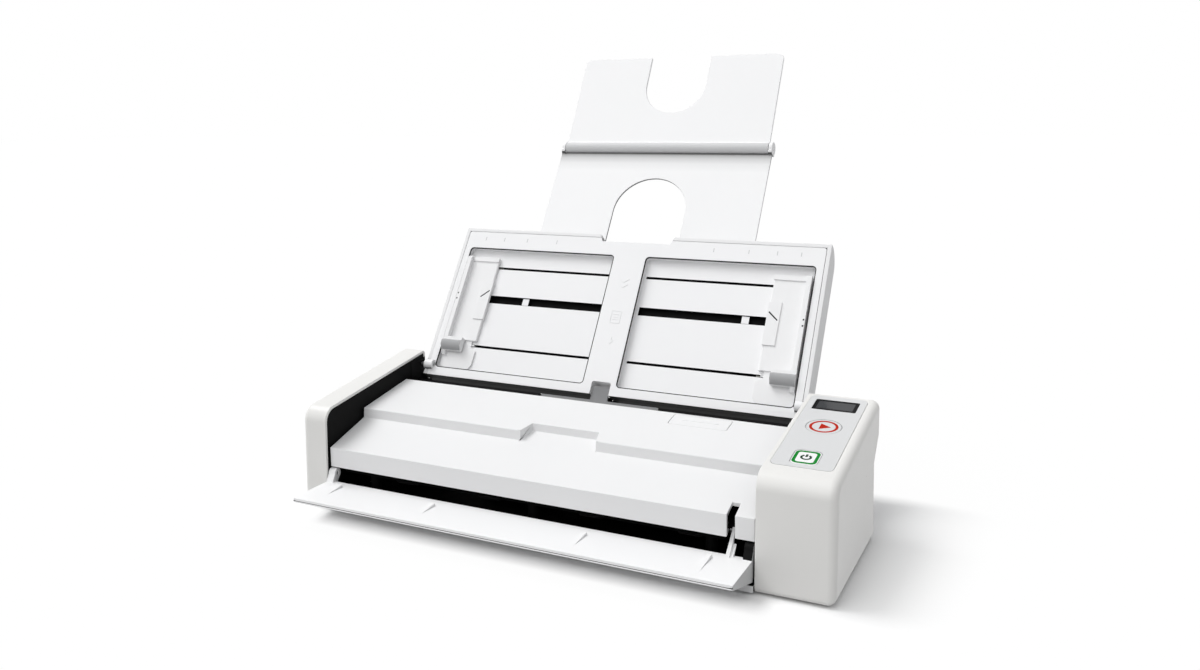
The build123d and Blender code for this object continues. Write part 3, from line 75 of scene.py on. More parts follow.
# sums of nodes written as plain sums, with a number on either side
class Wire:
    def __init__(self, finish, out):
        self.finish = finish
        self.out = out

    def maths(self, kind, first, second=None):
        sockets = {0: first}
        if second is not None:
            sockets[1] = second
        return self.finish.node("ShaderNodeMath", {"operation": kind}, sockets)

    def __add__(self, other):
        return self.maths("ADD", self, other)

    __radd__ = __add__

    def __sub__(self, other):
        return self.maths("SUBTRACT", self, other)

    def __rsub__(self, other):
        return self.maths("SUBTRACT", other, self)

    def __mul__(self, other):
        return self.maths("MULTIPLY", self, other)

    __rmul__ = __mul__

    def __truediv__(self, other):
        return self.maths("DIVIDE", self, other)

    def __gt__(self, other):
        return self.maths("GREATER_THAN", self, other)

    def __lt__(self, other):
        return self.maths("LESS_THAN", self, other)


class Finish:
    def __init__(self, name):
        self.material = bpy.data.materials.new(name)
        self.material.use_nodes = True
        self.tree = self.material.node_tree
        self.tree.nodes.clear()

    def node(self, kind, settings=None, sockets=None, out=0):
        made = self.tree.nodes.new(kind)
        for key, value in (settings or {}).items():
            if key == "stops":
                self.setStops(made.color_ramp, value)
            else:
                setattr(made, key, value)
        for key, value in (sockets or {}).items():
            if isinstance(value, Wire):
                self.tree.links.new(value.out, made.inputs[key])
            else:
                made.inputs[key].default_value = value
        return Wire(self, made.outputs[out])

    def setStops(self, ramp, stops):
        ramp.elements[0].position = stops[0][0]
        ramp.elements[-1].position = stops[-1][0]
        for position, colour in stops[1:-1]:
            ramp.elements.new(position)
        for element, (position, colour) in zip(ramp.elements, stops):
            element.color = colour

    def here(self):
        return self.node("ShaderNodeTexCoord", out="Object")

    def along(self, where, axes):
        return [self.node("ShaderNodeSeparateXYZ", None, {0: where}, out=axis) for axis in axes]

    def stretched(self, where, scale):
        return self.node("ShaderNodeMapping", None, {"Vector": where, "Scale": scale})

    def noise(self, where, scale, detail=2.0, roughness=0.5):
        sockets = {"Vector": where, "Scale": scale, "Detail": detail, "Roughness": roughness}
        return self.node("ShaderNodeTexNoise", None, sockets)

    def mixColour(self, share, first, second):
        made = self.tree.nodes.new("ShaderNodeMix")
        made.data_type = "RGBA"
        for socket, value in ((made.inputs[0], share), (made.inputs[6], first), (made.inputs[7], second)):
            if isinstance(value, Wire):
                self.tree.links.new(value.out, socket)
            else:
                socket.default_value = value
        return Wire(self, made.outputs[2])

    def bump(self, height, distance, strength=1.0):
        sockets = {"Height": height, "Distance": distance, "Strength": strength}
        return self.node("ShaderNodeBump", None, sockets)

    def surface(self, sockets):
        return self.end(self.node("ShaderNodeBsdfPrincipled", None, sockets))

    def end(self, shader):
        out = self.tree.nodes.new("ShaderNodeOutputMaterial")
        self.tree.links.new(shader.out, out.inputs[0])
        return self.material


def tone(colour, factor=1.0):
    return (colour[0] * factor, colour[1] * factor, colour[2] * factor, 1.0)


# moulded plastic: spark-eroded grain, a faint cloudiness in the colour and small changes of gloss
plasticFinishes = {
    "white": {"colour": (0.80, 0.80, 0.805), "rough": 0.42, "cloud": 0.03,
              "grain": 2600.0, "depth": 0.000012, "shine": 0.15},
    "housingWhite": {"colour": (0.79, 0.783, 0.765), "rough": 0.30, "cloud": 0.03,
                     "grain": 3200.0, "depth": 0.000006},
    "trayWhite": {"colour": (0.85, 0.85, 0.858), "rough": 0.36, "cloud": 0.02,
                  "grain": 2800.0, "depth": 0.000008},
    # painted shade: the extension darkens towards its hinge bar, with a painted shadow line just under it
    "extensionWhite": {"colour": (0.88, 0.88, 0.885), "rough": 0.36, "cloud": 0.02,
                       "grain": 2800.0, "depth": 0.000008,
                       "shade": [(158.0, 0.0), (164.0, 0.10), (168.0, 0.32), (170.0, 0.52), (170.9, 0.75),
                                 (171.1, 0.97), (172.1, 0.97), (172.2, 0.0), (182.0, 0.0)]},
    "black": {"colour": (0.004, 0.004, 0.0042), "rough": 0.62, "cloud": 0.25,
              "grain": 2200.0, "depth": 0.00002, "shine": 0.08},
    "grey": {"colour": (0.22, 0.222, 0.227), "rough": 0.5, "cloud": 0.06,
             "grain": 2400.0, "depth": 0.000015},
    "keyGrey": {"colour": (0.56, 0.565, 0.57), "rough": 0.45, "cloud": 0.03,
                "grain": 3000.0, "depth": 0.000008},
    "keyWhite": {"colour": (0.86, 0.86, 0.86), "rough": 0.3, "cloud": 0.02,
                 "grain": 3600.0, "depth": 0.000004},
    "nylon": {"colour": (0.76, 0.75, 0.70), "rough": 0.38, "cloud": 0.05,
              "grain": 1800.0, "depth": 0.00001},
    "panelGrey": {"colour": (0.66, 0.665, 0.67), "rough": 0.34, "cloud": 0.02,
                  "grain": 4200.0, "depth": 0.000004},
    "ringRed": {"colour": (0.46, 0.014, 0.001), "rough": 0.4, "cloud": 0.04,
                "grain": 4200.0, "depth": 0.000003, "shine": 0.03},
    # painted shadow: the dark finish for lines that stand for shade at walls, edges and slots
    "paintedShadowLine": {"colour": (0.03, 0.03, 0.031), "rough": 0.6, "cloud": 0.2,
                 "grain": 2200.0, "depth": 0.00001, "shine": 0.1},
    "guideWhite": {"colour": (0.82, 0.82, 0.825), "rough": 0.36, "cloud": 0.02,
                   "grain": 2800.0, "depth": 0.000008},
    "leafWhite": {"colour": (0.90, 0.90, 0.905), "rough": 0.36, "cloud": 0.02,
                  "grain": 2800.0, "depth": 0.000008},
    # painted shade for the down-facing faces of the extension leaf's hinge bar
    "barPaintedShade": {"colour": (0.62, 0.622, 0.63), "rough": 0.4, "cloud": 0.03,
                "grain": 2800.0, "depth": 0.000008},
    # painted shade for the faces of the paper guides' hoods
    "hoodPaintedShade": {"colour": (0.42, 0.422, 0.43), "rough": 0.4, "cloud": 0.03,
                 "grain": 2800.0, "depth": 0.000008},
    # painted shade for side, end and down-facing edge faces
    "edgePaintedShade": {"colour": (0.26, 0.26, 0.265), "rough": 0.4, "cloud": 0.03,
                 "grain": 2800.0, "depth": 0.000008},
    "glyphGreen": {"colour": (0.002, 0.03, 0.008), "rough": 0.4, "cloud": 0.04,
                   "grain": 4200.0, "depth": 0.000003, "shine": 0.03},
    "ringGreen": {"colour": (0.0, 0.22, 0.02), "rough": 0.35, "cloud": 0.04,
                  "grain": 4200.0, "depth": 0.000003, "shine": 0.04},
    "displayBlack": {"colour": (0.003, 0.003, 0.0035), "rough": 0.4, "cloud": 0.1,
                     "grain": 4200.0, "depth": 0.000002, "shine": 0.03},
}

# what every plastic shares; a noise is given by its scale, detail and roughness, here and below
plasticShared = {
    "grainNoise": (3.0, 0.6),
    "cloudNoise": (14.0, 4.0, 0.55),
    "cloudLift": 0.5,
    "wipeStretch": (1.0, 3.0, 3.0),
    "wipeNoise": (38.0, 5.0, 0.6),
    "wipeRough": 0.12,
    "shadeTone": 0.03,
    "refraction": 1.5,
    "shine": 0.22,
}


def slopeShade(f, where, stops):
    # painted shade under the hinge bar: how dark the surface gets along the tray's slope, in millimetres up
    # from the tray's foot
    lean = math.radians(layout["trayLean"])
    foot = trayPlane.to_translation()
    back, up = f.along(where, "YZ")
    rise = (back - foot.y) * math.cos(lean) + (up - foot.z) * math.sin(lean)
    first, last = stops[0][0], stops[-1][0]
    share = (rise / mm - first) / (last - first)
    tones = [((at - first) / (last - first), (dark, dark, dark, 1.0)) for at, dark in stops]
    return f.node("ShaderNodeValToRGB", {"stops": tones}, {0: share})


def plastic(name, values, shared):
    f = Finish(name)
    where = f.here()
    grain = f.noise(where, values["grain"], *shared["grainNoise"])
    cloud = f.noise(where, *shared["cloudNoise"])
    wipe = f.noise(f.stretched(where, shared["wipeStretch"]), *shared["wipeNoise"])
    low = tone(values["colour"], 1.0 - values["cloud"])
    high = tone(values["colour"], 1.0 + values["cloud"] * shared["cloudLift"])
    base = f.mixColour(cloud, low, high)
    # painted shade along the tray's slope, where a finish has it
    if "shade" in values:
        shade = slopeShade(f, where, values["shade"])
        base = f.mixColour(shade, base, tone(values["colour"], shared["shadeTone"]))
    return f.surface({
        "Base Color": base,
        "Roughness": values["rough"] + (wipe - 0.5) * shared["wipeRough"],
        "Normal": f.bump(grain, values["depth"]),
        "IOR": shared["refraction"],
        "Specular IOR Level": values.get("shine", shared["shine"]),
    })


rubberValues = {
    "colour": (0.014, 0.014, 0.0145),
    "poreNoise": (3200.0, 4.0, 0.7),
    "dustNoise": (60.0, 5.0, 0.65),
    "dustTones": (0.7, 1.6),
    "rough": 0.72,
    "dustRough": 0.25,
    "poreDepth": 0.00005,
    "poreStrength": 0.8,
}


def rubber(name, v):
    f = Finish(name)
    where = f.here()
    pores = f.noise(where, *v["poreNoise"])
    dust = f.noise(where, *v["dustNoise"])
    return f.surface({
        "Base Color": f.mixColour(dust, *(tone(v["colour"], factor) for factor in v["dustTones"])),
        "Roughness": v["rough"] + (dust - 0.5) * v["dustRough"],
        "Normal": f.bump(pores, v["poreDepth"], v["poreStrength"]),
    })


steelValues = {
    "colour": (0.60, 0.60, 0.61),
    "brushed": (0.02, 1.0, 1.0),
    "lineNoise": (900.0, 3.0, 0.7),
    "stainNoise": (45.0, 4.0, 0.6),
    "stainTones": (0.85, 1.05),
    "rough": 0.24,
    "lineRough": 0.18,
    "lineDepth": 0.000008,
}


def steel(name, v):
    f = Finish(name)
    where = f.here()
    lines = f.noise(f.stretched(where, v["brushed"]), *v["lineNoise"])
    stain = f.noise(where, *v["stainNoise"])
    return f.surface({
        "Base Color": f.mixColour(stain, *(tone(v["colour"], factor) for factor in v["stainTones"])),
        "Metallic": 1.0,
        "Roughness": v["rough"] + lines * v["lineRough"],
        "Normal": f.bump(lines, v["lineDepth"]),
    })


boardValues = {
    "padScale": 420.0,
    "padSize": 0.18,
    "padColour": (0.62, 0.58, 0.5, 1),
    "padMetal": 0.8,
    "trackOffset": 0.35,
    "tracks": {"Scale": 160.0, "Mortar Size": 0.035},
    "maskColours": ((0.012, 0.12, 0.05, 1), (0.02, 0.19, 0.08, 1)),
    "rough": 0.3,
    "padRough": 0.1,
    "trackDepth": 0.00004,
}


def circuitBoard(name, v):
    f = Finish(name)
    where = f.here()
    spread = {"feature": "F1", "distance": "MANHATTAN"}
    fine = f.node("ShaderNodeTexVoronoi", spread, {"Vector": where, "Scale": v["padScale"]})
    rows = {"Vector": where, **v["tracks"]}
    tracks = f.node("ShaderNodeTexBrick", {"offset": v["trackOffset"]}, rows, out="Fac")
    pads = fine < v["padSize"]
    mask = f.mixColour(tracks, *v["maskColours"])
    return f.surface({
        "Base Color": f.mixColour(pads, mask, v["padColour"]),
        "Roughness": v["rough"] + pads * v["padRough"],
        "Metallic": pads * v["padMetal"],
        "Normal": f.bump(tracks, v["trackDepth"]),
    })


paneValues = {
    "colour": (0.9, 0.94, 0.94),
    "smearStretch": (1.0, 4.0, 4.0),
    "smearNoise": (30.0, 4.0, 0.6),
    "smearTones": (0.92, 1.0),
    "rough": 0.05,
    "smearRough": 0.06,
    "refraction": 1.5,
    "cover": 0.45,
    "smearCover": 0.1,
}


def clearPane(name, v):
    f = Finish(name)
    where = f.here()
    smear = f.noise(f.stretched(where, v["smearStretch"]), *v["smearNoise"])
    return f.surface({
        "Base Color": f.mixColour(smear, *(tone(v["colour"], factor) for factor in v["smearTones"])),
        "Roughness": v["rough"] + smear * v["smearRough"],
        "Transmission Weight": 1.0,
        "IOR": v["refraction"],
        "Alpha": v["cover"] + smear * v["smearCover"],
    })


displayValues = {
    "cells": {"Scale": 1400.0, "Mortar Size": 0.06, "Brick Width": 0.5, "Row Height": 0.5},
    "cellShare": 0.5,
    "cellColour": (0.024, 0.026, 0.03, 1),
    "hazeNoise": (90.0, 3.0, 0.5),
    "backing": ((0.012, 0.014, 0.017, 1), (0.020, 0.022, 0.026, 1)),
    "rough": 0.16,
    "hazeRough": 0.05,
    "shine": 0.2,
    "hazeDepth": 0.000004,
}


def displayFace(name, v):
    # a passive liquid-crystal face: a fine cell grid and a faint unevenness of the backing
    f = Finish(name)
    where = f.here()
    grid = {"Vector": f.stretched(where, (1.0, 1.0, 0.0)), **v["cells"]}
    cells = f.node("ShaderNodeTexBrick", {"offset": 0.0}, grid, out="Fac")
    haze = f.noise(where, *v["hazeNoise"])
    base = f.mixColour(haze, *v["backing"])
    return f.surface({
        "Base Color": f.mixColour(cells * v["cellShare"], base, v["cellColour"]),
        "Roughness": v["rough"] + haze * v["hazeRough"],
        "Specular IOR Level": v["shine"],
        "Normal": f.bump(haze, v["hazeDepth"]),
    })


finishes = {name: plastic(name, values, plasticShared) for name, values in plasticFinishes.items()}
finishes["rubber"] = rubber("rubber", rubberValues)
finishes["steel"] = steel("steel", steelValues)
finishes["board"] = circuitBoard("board", boardValues)
finishes["clear"] = clearPane("clear", paneValues)
finishes["display"] = displayFace("display", displayValues)
print("finishes made:", len(finishes))

slotFinish = {
    "white": "white",
    "black": "black",
    "grey": "grey",
    "key_grey": "keyGrey",
    "key_green": "keyWhite",
    "rubber": "rubber",
    "steel": "steel",
    "nylon": "nylon",
    "board": "board",
    "clear": "clear",
    "display": "display",
}
ownFinish = {
    "right_end_housing": "housingWhite",
    "left_end_cover": "housingWhite",
    "panel_overlay": "panelGrey",
    "start_key": "panelGrey",
    "power_key": "keyWhite",
    "tray_face_plate": "trayWhite",
    "left_paper_guide": "guideWhite",
    "right_paper_guide": "guideWhite",
    "tray_extension": "extensionWhite",
    "extension_leaf": "leafWhite",
    # painted light: the flap takes the lighter leaf white, to make up for the shade the lid casts on it
    "output_flap": "leafWhite",
}


def finishFor(name):
    return finishes[ownFinish.get(name, slotFinish[slotOf[name]])]


for name, node in nodes.items():
    material = finishFor(name)
    if not node.material_slots:
        node.data.materials.append(material)
    for slot in node.material_slots:
        slot.material = material


# softened copies of the moulded shells: how wide their edges are rounded, in millimetres
softEdges = {
    "left_end_cover": 0.4,
    "right_end_housing": 0.4,
    "paper_cover": 0.3,
    "tray_face_plate": 0.2,
    "tray_back_shell": 0.4,
    "tray_extension": 0.2,
    "extension_leaf": 0.25,
    "output_flap": 0.2,
    "left_paper_guide": 0.14,
    "right_paper_guide": 0.14,
    "base_pan": 0.25,
    "rear_cover": 0.3,
    "release_button": 0.3,
    "start_key": 0.25,
    "power_key": 0.25,
    "feed_pad": 0.2,
}

# angles in degrees, lengths in millimetres; reach counts in widths of the rounding
softValues = {
    "weld": 0.002,
    "flatAngle": 0.4,
    "roundAngle": 50,
    "narrowest": 0.4,
    "segments": 2,
    "sharpAngle": 70,
    "evenness": 90,
    "reach": 1.25,
    "innerMatch": 0.85,
}

# inner walls that lie closer to an outer face than a bevel is wide, by the way they face
innerFacing = {"paper_cover": Vector((0.0, 0.98, -0.2))}

ledgeValues = {"box": ((-29.0, 19.0), (-70.2, -69.3), (43.9, 44.4)), "level": 44.324}


def linked(name, data):
    piece = bpy.data.objects.new(name, data)
    bpy.context.scene.collection.objects.link(piece)
    return piece


def plainMesh(maker, name):
    # the evaluated shape as a mesh of its own, with no modifiers
    graph = bpy.context.evaluated_depsgraph_get()
    graph.update()
    shape = maker.evaluated_get(graph)
    mesh = bpy.data.meshes.new_from_object(shape, preserve_all_data_layers=True, depsgraph=graph)
    mesh.name = name
    piece = linked(name, mesh)
    bpy.data.objects.remove(maker)
    return piece


def settle(piece, surface, reach):
    # corners that the bevel threw past its width go back onto the moulded surface
    for corner in piece.data.vertices:
        spot, facing, index, gap = surface.find_nearest(corner.co)
        if gap > reach:
            corner.co = spot


def markEdges(bm, v, inner):
    # only corners between faces wider than the bevel are rounded
    weight = bm.edges.layers.float.new("bevel_weight_edge")
    for edge in bm.edges:
        if len(edge.link_faces) != 2 or edge.calc_face_angle() < math.radians(v["roundAngle"]):
            continue
        if inner and any(face.normal.dot(inner) > v["innerMatch"] for face in edge.link_faces):
            continue
        if min(face.calc_area() for face in edge.link_faces) / edge.calc_length() > v["narrowest"] * mm:
            edge[weight] = 1.0


def levelLedge(bm, v):
    # the finger recess runs out into the lower step without a ledge
    for corner in bm.verts:
        if all(low < at < high for at, (low, high) in zip(corner.co / mm, v["box"])):
            corner.co.z = v["level"] * mm


def softened(name, width, v):
    mesh = nodes[name].data.copy()
    bm = bmesh.new()
    bm.from_mesh(mesh)
    surface = BVHTree.FromBMesh(bm)
    if name == "paper_cover":
        levelLedge(bm, ledgeValues)
    bmesh.ops.remove_doubles(bm, verts=bm.verts, dist=v["weld"] * mm)
    flat = math.radians(v["flatAngle"])
    bmesh.ops.dissolve_limit(bm, angle_limit=flat, verts=bm.verts, edges=bm.edges)
    markEdges(bm, v, innerFacing.get(name))
    bm.to_mesh(mesh)
    bm.free()
    maker = linked("maker", mesh)
    bevel = maker.modifiers.new("bevel", "BEVEL")
    bevel.width = width * mm
    bevel.segments = v["segments"]
    bevel.limit_method = "WEIGHT"
    bevel.use_clamp_overlap = False
    bevel.loop_slide = False
    mesh.shade_smooth()
    mesh.set_sharp_from_angle(angle=math.radians(v["sharpAngle"]))
    even = maker.modifiers.new("even", "WEIGHTED_NORMAL")
    even.mode = "FACE_AREA"
    even.weight = v["evenness"]
    even.keep_sharp = False
    piece = plainMesh(maker, name + "_shell")
    settle(piece, surface, width * mm * v["reach"])
    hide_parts(name)
    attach(piece, bodyOf[name])
    return piece


# faces of the shells with another finish, many of them painted shade, picked by boxes that hold the face's
# middle, in millimetres along the plane's axes; beside is x of either sign, faceX to faceZ how it faces,
# slant is faceZ of either sign
far = 1000.0
guideShadeFaces = (
    # painted shade: the hood's outward faces are painted grey
    {"finish": "hoodPaintedShade", "plane": trayPlane,
     "boxes": [{"beside": (99.0, far), "y": (17.4, 24.2), "z": (0.7, far), "faceZ": (0.1, far)}]},
    # painted shade: the guide's foot inside the wide slot is painted dark
    {"finish": "paintedShadowLine", "plane": trayPlane,
     "boxes": [{"beside": (90.7, 98.7), "y": (54.5, 63.5), "z": (-1.75, -1.18)}]},
    # painted shade: the lower wall by the feed pad is painted grey
    {"finish": "edgePaintedShade", "plane": trayPlane,
     "boxes": [{"y": (40.6, 41.4), "z": (-2.0, far), "faceY": (-far, -0.5)}]},
)
# painted shade: the tray's foot end faces are painted black, for the dark gap in front of them
footPaintedShade = {"finish": "black", "plane": trayPlane,
            "boxes": [{"y": (-far, 1.6), "z": (-far, -0.15), "faceY": (-far, -0.3)}]}
paintedFaces = {
    "tray_face_plate": (
        footPaintedShade,
        # painted shade: the walls of the slots are painted black, for the shade inside them
        {"finish": "black", "plane": trayPlane,
         "boxes": [{"beside": (12.0, 101.0), "y": slot, "z": (-5.6, -4.02), "slant": (-far, 0.95)}
                   for slot in ((22.3, 24.3), (53.6, 59.4), (78.0, 80.0))]},
        # painted shade: the tray plate's side and top end faces are painted grey
        {"finish": "edgePaintedShade", "plane": trayPlane,
         "boxes": [{"beside": (117.0, far), "slant": (-far, 0.5)},
                   {"y": (98.0, far), "slant": (-far, 0.5)}]},
    ),
    "tray_back_shell": (footPaintedShade,),
    "base_pan": (
        {"finish": "black", "plane": casePlane,
         "boxes": [{"z": (3.3, far), "faceZ": (0.4, far)}, {"z": (3.3, far), "faceY": (0.4, far)},
                   {"z": (3.3, far), "y": (-97.0, far)}]},
    ),
    "output_flap": (
        {"finish": "black", "plane": casePlane,
         "boxes": [{"x": (107.4, far), "y": (-103.6, far), "z": (17.0, far), "faceX": (-far, 0.7)}]},
        # painted shadow line along the flap's front edge
        {"finish": "paintedShadowLine", "plane": casePlane, "boxes": [{"y": (-far, -120.0), "z": (14.38, 15.12)}]},
        # painted shade: the flap's right cheek is painted grey
        {"finish": "keyGrey", "plane": casePlane,
         "boxes": [{"x": (112.0, far), "z": (-far, 25.0), "faceX": (0.9, far)}]},
    ),
    "left_paper_guide": guideShadeFaces,
    "right_paper_guide": guideShadeFaces,
    "tray_extension": (
        # painted shade: the extension's side edges are painted grey
        {"finish": "edgePaintedShade", "plane": trayPlane, "boxes": [{"y": (-far, 168.0), "slant": (-far, 0.5)}]},
    ),
    "extension_leaf": (
        # painted shade: the hinge bar's down-facing faces are painted grey
        {"finish": "barPaintedShade", "plane": trayPlane,
         "boxes": [{"y": (-far, 180.0), "faceY": (-far, 0.55), "faceZ": (-0.5, far)}]},
    ),
}


def paintFaces(piece, finish, plane, boxes):
    piece.data.materials.append(finishes[finish])
    inward = plane.inverted()
    turned = inward.to_3x3()
    for face in piece.data.polygons:
        at, facing = (inward @ face.center) / mm, turned @ face.normal
        found = {"x": at.x, "y": at.y, "z": at.z, "beside": abs(at.x),
                 "faceX": facing.x, "faceY": facing.y, "faceZ": facing.z, "slant": abs(facing.z)}
        if any(all(low < found[key] < high for key, (low, high) in box.items()) for box in boxes):
            face.material_index = len(piece.data.materials) - 1


shells = {name: softened(name, width, softValues) for name, width in softEdges.items()}
for name, rules in paintedFaces.items():
    for rule in rules:
        paintFaces(shells[name], **rule)
print("shells softened:", len(softEdges))


# small pieces laid on the surfaces
def roundedOutline(width, height, radius, steps=8):
    points = []
    for cornerX, cornerY, start in ((1, 1, 0), (-1, 1, 90), (-1, -1, 180), (1, -1, 270)):
        centre = (cornerX * (width / 2 - radius), cornerY * (height / 2 - radius))
        for step in range(steps + 1):
            angle = math.radians(start + 90 * step / steps)
            points.append((centre[0] + radius * math.cos(angle), centre[1] + radius * math.sin(angle)))
    return points


def arcOutline(radius, start, end, steps=48):
    angles = [math.radians(start + (end - start) * step / steps) for step in range(steps + 1)]
    return [(radius * math.cos(angle), radius * math.sin(angle)) for angle in angles]


def boxOutline(low, high, start, end):
    return [(low, start), (high, start), (high, end), (low, end)]


def addRing(bm, plane, centre, outline, level):
    places = [Vector((centre[0] + x, centre[1] + y, level)) for x, y in outline]
    return [bm.verts.new(plane @ (place * mm)) for place in places]


def closeSolid(bm, low, high):
    # a floor, a lid and the sides between two rings of corners
    bm.faces.new(reversed(low))
    bm.faces.new(high)
    for here in range(len(low)):
        ahead = (here + 1) % len(low)
        bm.faces.new((low[here], low[ahead], high[ahead], high[here]))


def addPrism(bm, plane, centre, outline, low, high):
    closeSolid(bm, *[addRing(bm, plane, centre, outline, level) for level in (low, high)])


def addSlab(bm, sides, outline):
    # a plate standing along the case, given by its two sides and its outline from behind and below
    closeSolid(bm, *[[bm.verts.new(Vector((x, y, z)) * mm) for y, z in outline] for x in sides])


def addBand(bm, plane, centre, outer, inner, low, high, closed=True):
    # a raised line between two outlines with the same number of points
    edges = ((outer, low), (outer, high), (inner, high), (inner, low))
    loops = [addRing(bm, plane, centre, outline, level) for outline, level in edges]
    count = len(outer)
    for here in range(count if closed else count - 1):
        ahead = (here + 1) % count
        for side in range(4):
            other = (side + 1) % 4
            bm.faces.new((loops[side][here], loops[side][ahead], loops[other][ahead], loops[other][here]))
    if not closed:
        bm.faces.new([loop[0] for loop in loops])
        bm.faces.new([loop[-1] for loop in reversed(loops)])


def addFrame(bm, plane, centre, v):
    # a rounded frame with its line inside its size
    width, height = v["size"]
    outer = roundedOutline(width, height, v["corners"][0])
    inner = roundedOutline(width - 2 * v["line"], height - 2 * v["line"], v["corners"][1])
    addBand(bm, plane, centre, outer, inner, *v["levels"])


def finishedPiece(name, bm, finish, body):
    bmesh.ops.recalc_face_normals(bm, faces=bm.faces)
    mesh = bpy.data.meshes.new(name)
    bm.to_mesh(mesh)
    bm.free()
    mesh.materials.append(finishes[finish])
    piece = linked(name, mesh)
    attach(piece, body)
    return piece


# places and sizes on the panel, in millimetres; levels are heights over its surface
panelValues = {
    "centreX": 130.1,
    "display": {"at": 88.7, "size": (22.2, 13.3), "line": 1.8, "corners": (0.5, 0.3),
                "levels": (-0.12, -0.04)},
    "start": {"at": 61.3, "radii": (7.1, 5.7), "steps": 64, "levels": (-0.14, 0.03),
              "arrow": 3.4, "back": -0.55, "tip": 1.05, "arrowLevels": (0.0, 0.04)},
    "power": {"at": 24.8, "size": (11.6, 13.6), "line": 1.5, "corners": (2.6, 1.5),
              "levels": (-0.14, 0.04)},
    "glyph": {"radius": 2.7, "line": 1.05, "arc": (122, 418), "levels": (0.0, 0.04),
              "bar": (0.4, 3.1), "barLevels": (0.0, 0.05)},
}


def makePanelMarks(v):
    bm = bmesh.new()
    addFrame(bm, panelPlane, (v["centreX"], v["display"]["at"]), v["display"])
    finishedPiece("display_frame", bm, "displayBlack", "base")

    bm = bmesh.new()
    start = v["start"]
    centre = (v["centreX"], start["at"])
    steps, size = start["steps"], start["arrow"]
    rings = [arcOutline(radius, 0, 360 - 360 / steps, steps - 1) for radius in start["radii"]]
    addBand(bm, panelPlane, centre, *rings, *start["levels"])
    arrow = [(start["back"] * size, -size), (start["tip"] * size, 0), (start["back"] * size, size)]
    addPrism(bm, panelPlane, centre, arrow, *start["arrowLevels"])
    finishedPiece("start_mark", bm, "ringRed", "start_button")

    bm = bmesh.new()
    centre = (v["centreX"], v["power"]["at"])
    addFrame(bm, panelPlane, centre, v["power"])
    finishedPiece("power_frame", bm, "ringGreen", "power_button")

    bm = bmesh.new()
    glyph = v["glyph"]
    radii = (glyph["radius"], glyph["radius"] - glyph["line"])
    arcs = [arcOutline(radius, *glyph["arc"]) for radius in radii]
    addBand(bm, panelPlane, centre, *arcs, *glyph["levels"], closed=False)
    bar = boxOutline(-glyph["line"] / 2, glyph["line"] / 2, *glyph["bar"])
    addPrism(bm, panelPlane, centre, bar, *glyph["barLevels"])
    finishedPiece("power_glyph", bm, "glyphGreen", "power_button")


makePanelMarks(panelValues)


# plain raised hints for laying the paper in, on the tray's middle rail
railValues = {
    "levels": (-0.05, 0.22),
    "line": 0.5,
    "chevrons": {"at": (73.0, 69.5), "half": 3.2, "rise": 2.2, "thick": 1.4},
    "sheet": {"at": 50.0, "size": (6.6, 8.4), "corners": (0.6, 0.3),
              "rows": (-1.6, 0.0, 1.6), "rowHalf": 1.7},
    "arrow": {"at": 34.5, "size": 2.4, "stem": 0.35},
}


def makeRailMarks(v):
    bm = bmesh.new()
    line, levels, sheet = v["line"], v["levels"], v["sheet"]
    half, rise = v["chevrons"]["half"], v["chevrons"]["rise"]
    thick = line * v["chevrons"]["thick"]
    chevron = [(-half, rise), (0, 0), (half, rise), (half, rise + thick), (0, thick), (-half, rise + thick)]
    for at in v["chevrons"]["at"]:
        addPrism(bm, trayPlane, (0, at), chevron, *levels)
    addFrame(bm, trayPlane, (0, sheet["at"]), {**sheet, "line": line, "levels": levels})
    for row in sheet["rows"]:
        stroke = boxOutline(-sheet["rowHalf"], sheet["rowHalf"], row - line / 2, row + line / 2)
        addPrism(bm, trayPlane, (0, sheet["at"]), stroke, *levels)
    size = v["arrow"]["size"]
    stem = v["arrow"]["stem"] * size
    arrow = [(0, -size), (size, 0), (stem, 0), (stem, size), (-stem, size), (-stem, 0), (-size, 0)]
    addPrism(bm, trayPlane, (0, v["arrow"]["at"]), arrow, *levels)
    finishedPiece("rail_marks", bm, "trayWhite", "tray")


makeRailMarks(railValues)


# painted shade: dark lines and black slabs where the recesses, fences and gaps are in shade; the wall slab's
# outline counts back from the case front and up from the feet, the gap slabs are boxes in the frame's x, y
# and z, and the rest lies on the tray's plane
paintedShadowValues = {
    "field": {"inner": 10.5, "outer": 114.7, "low": 5.5, "high": 91.5, "corner": 2.5, "inset": 0.03},
    "line": {"width": 0.50, "levels": (-0.9, -0.10)},
    "guideShadeLine": {"x": 113.5, "thick": 0.03, "along": (27.0, 79.5), "levels": (1.05, 1.62)},
    "clipDots": {"x": 112.6, "along": (57.0, 53.2), "size": 0.95, "levels": (1.7, 1.83)},
    "wallShadeSlab": {"x": (-133.45, -133.3),
                 "outline": ((86.5, 51.0), (102.3, 51.0), (102.3, 66.5), (86.5, 65.3))},
    # painted shade: black slabs closing the gaps by the tray's foot
    "gapShadeSlabs": (
        ((-133.3, -130.53), (-1.3, -0.9), (51.0, 57.6)),
        ((-130.53, -128.0), (-1.3, -0.95), (51.0, 53.85)),
        ((-4.6, -1.85), (-1.3, -0.95), (51.0, 55.6)),
        ((-1.85, 2.0), (-1.3, -0.95), (51.0, 53.85)),
    ),
}


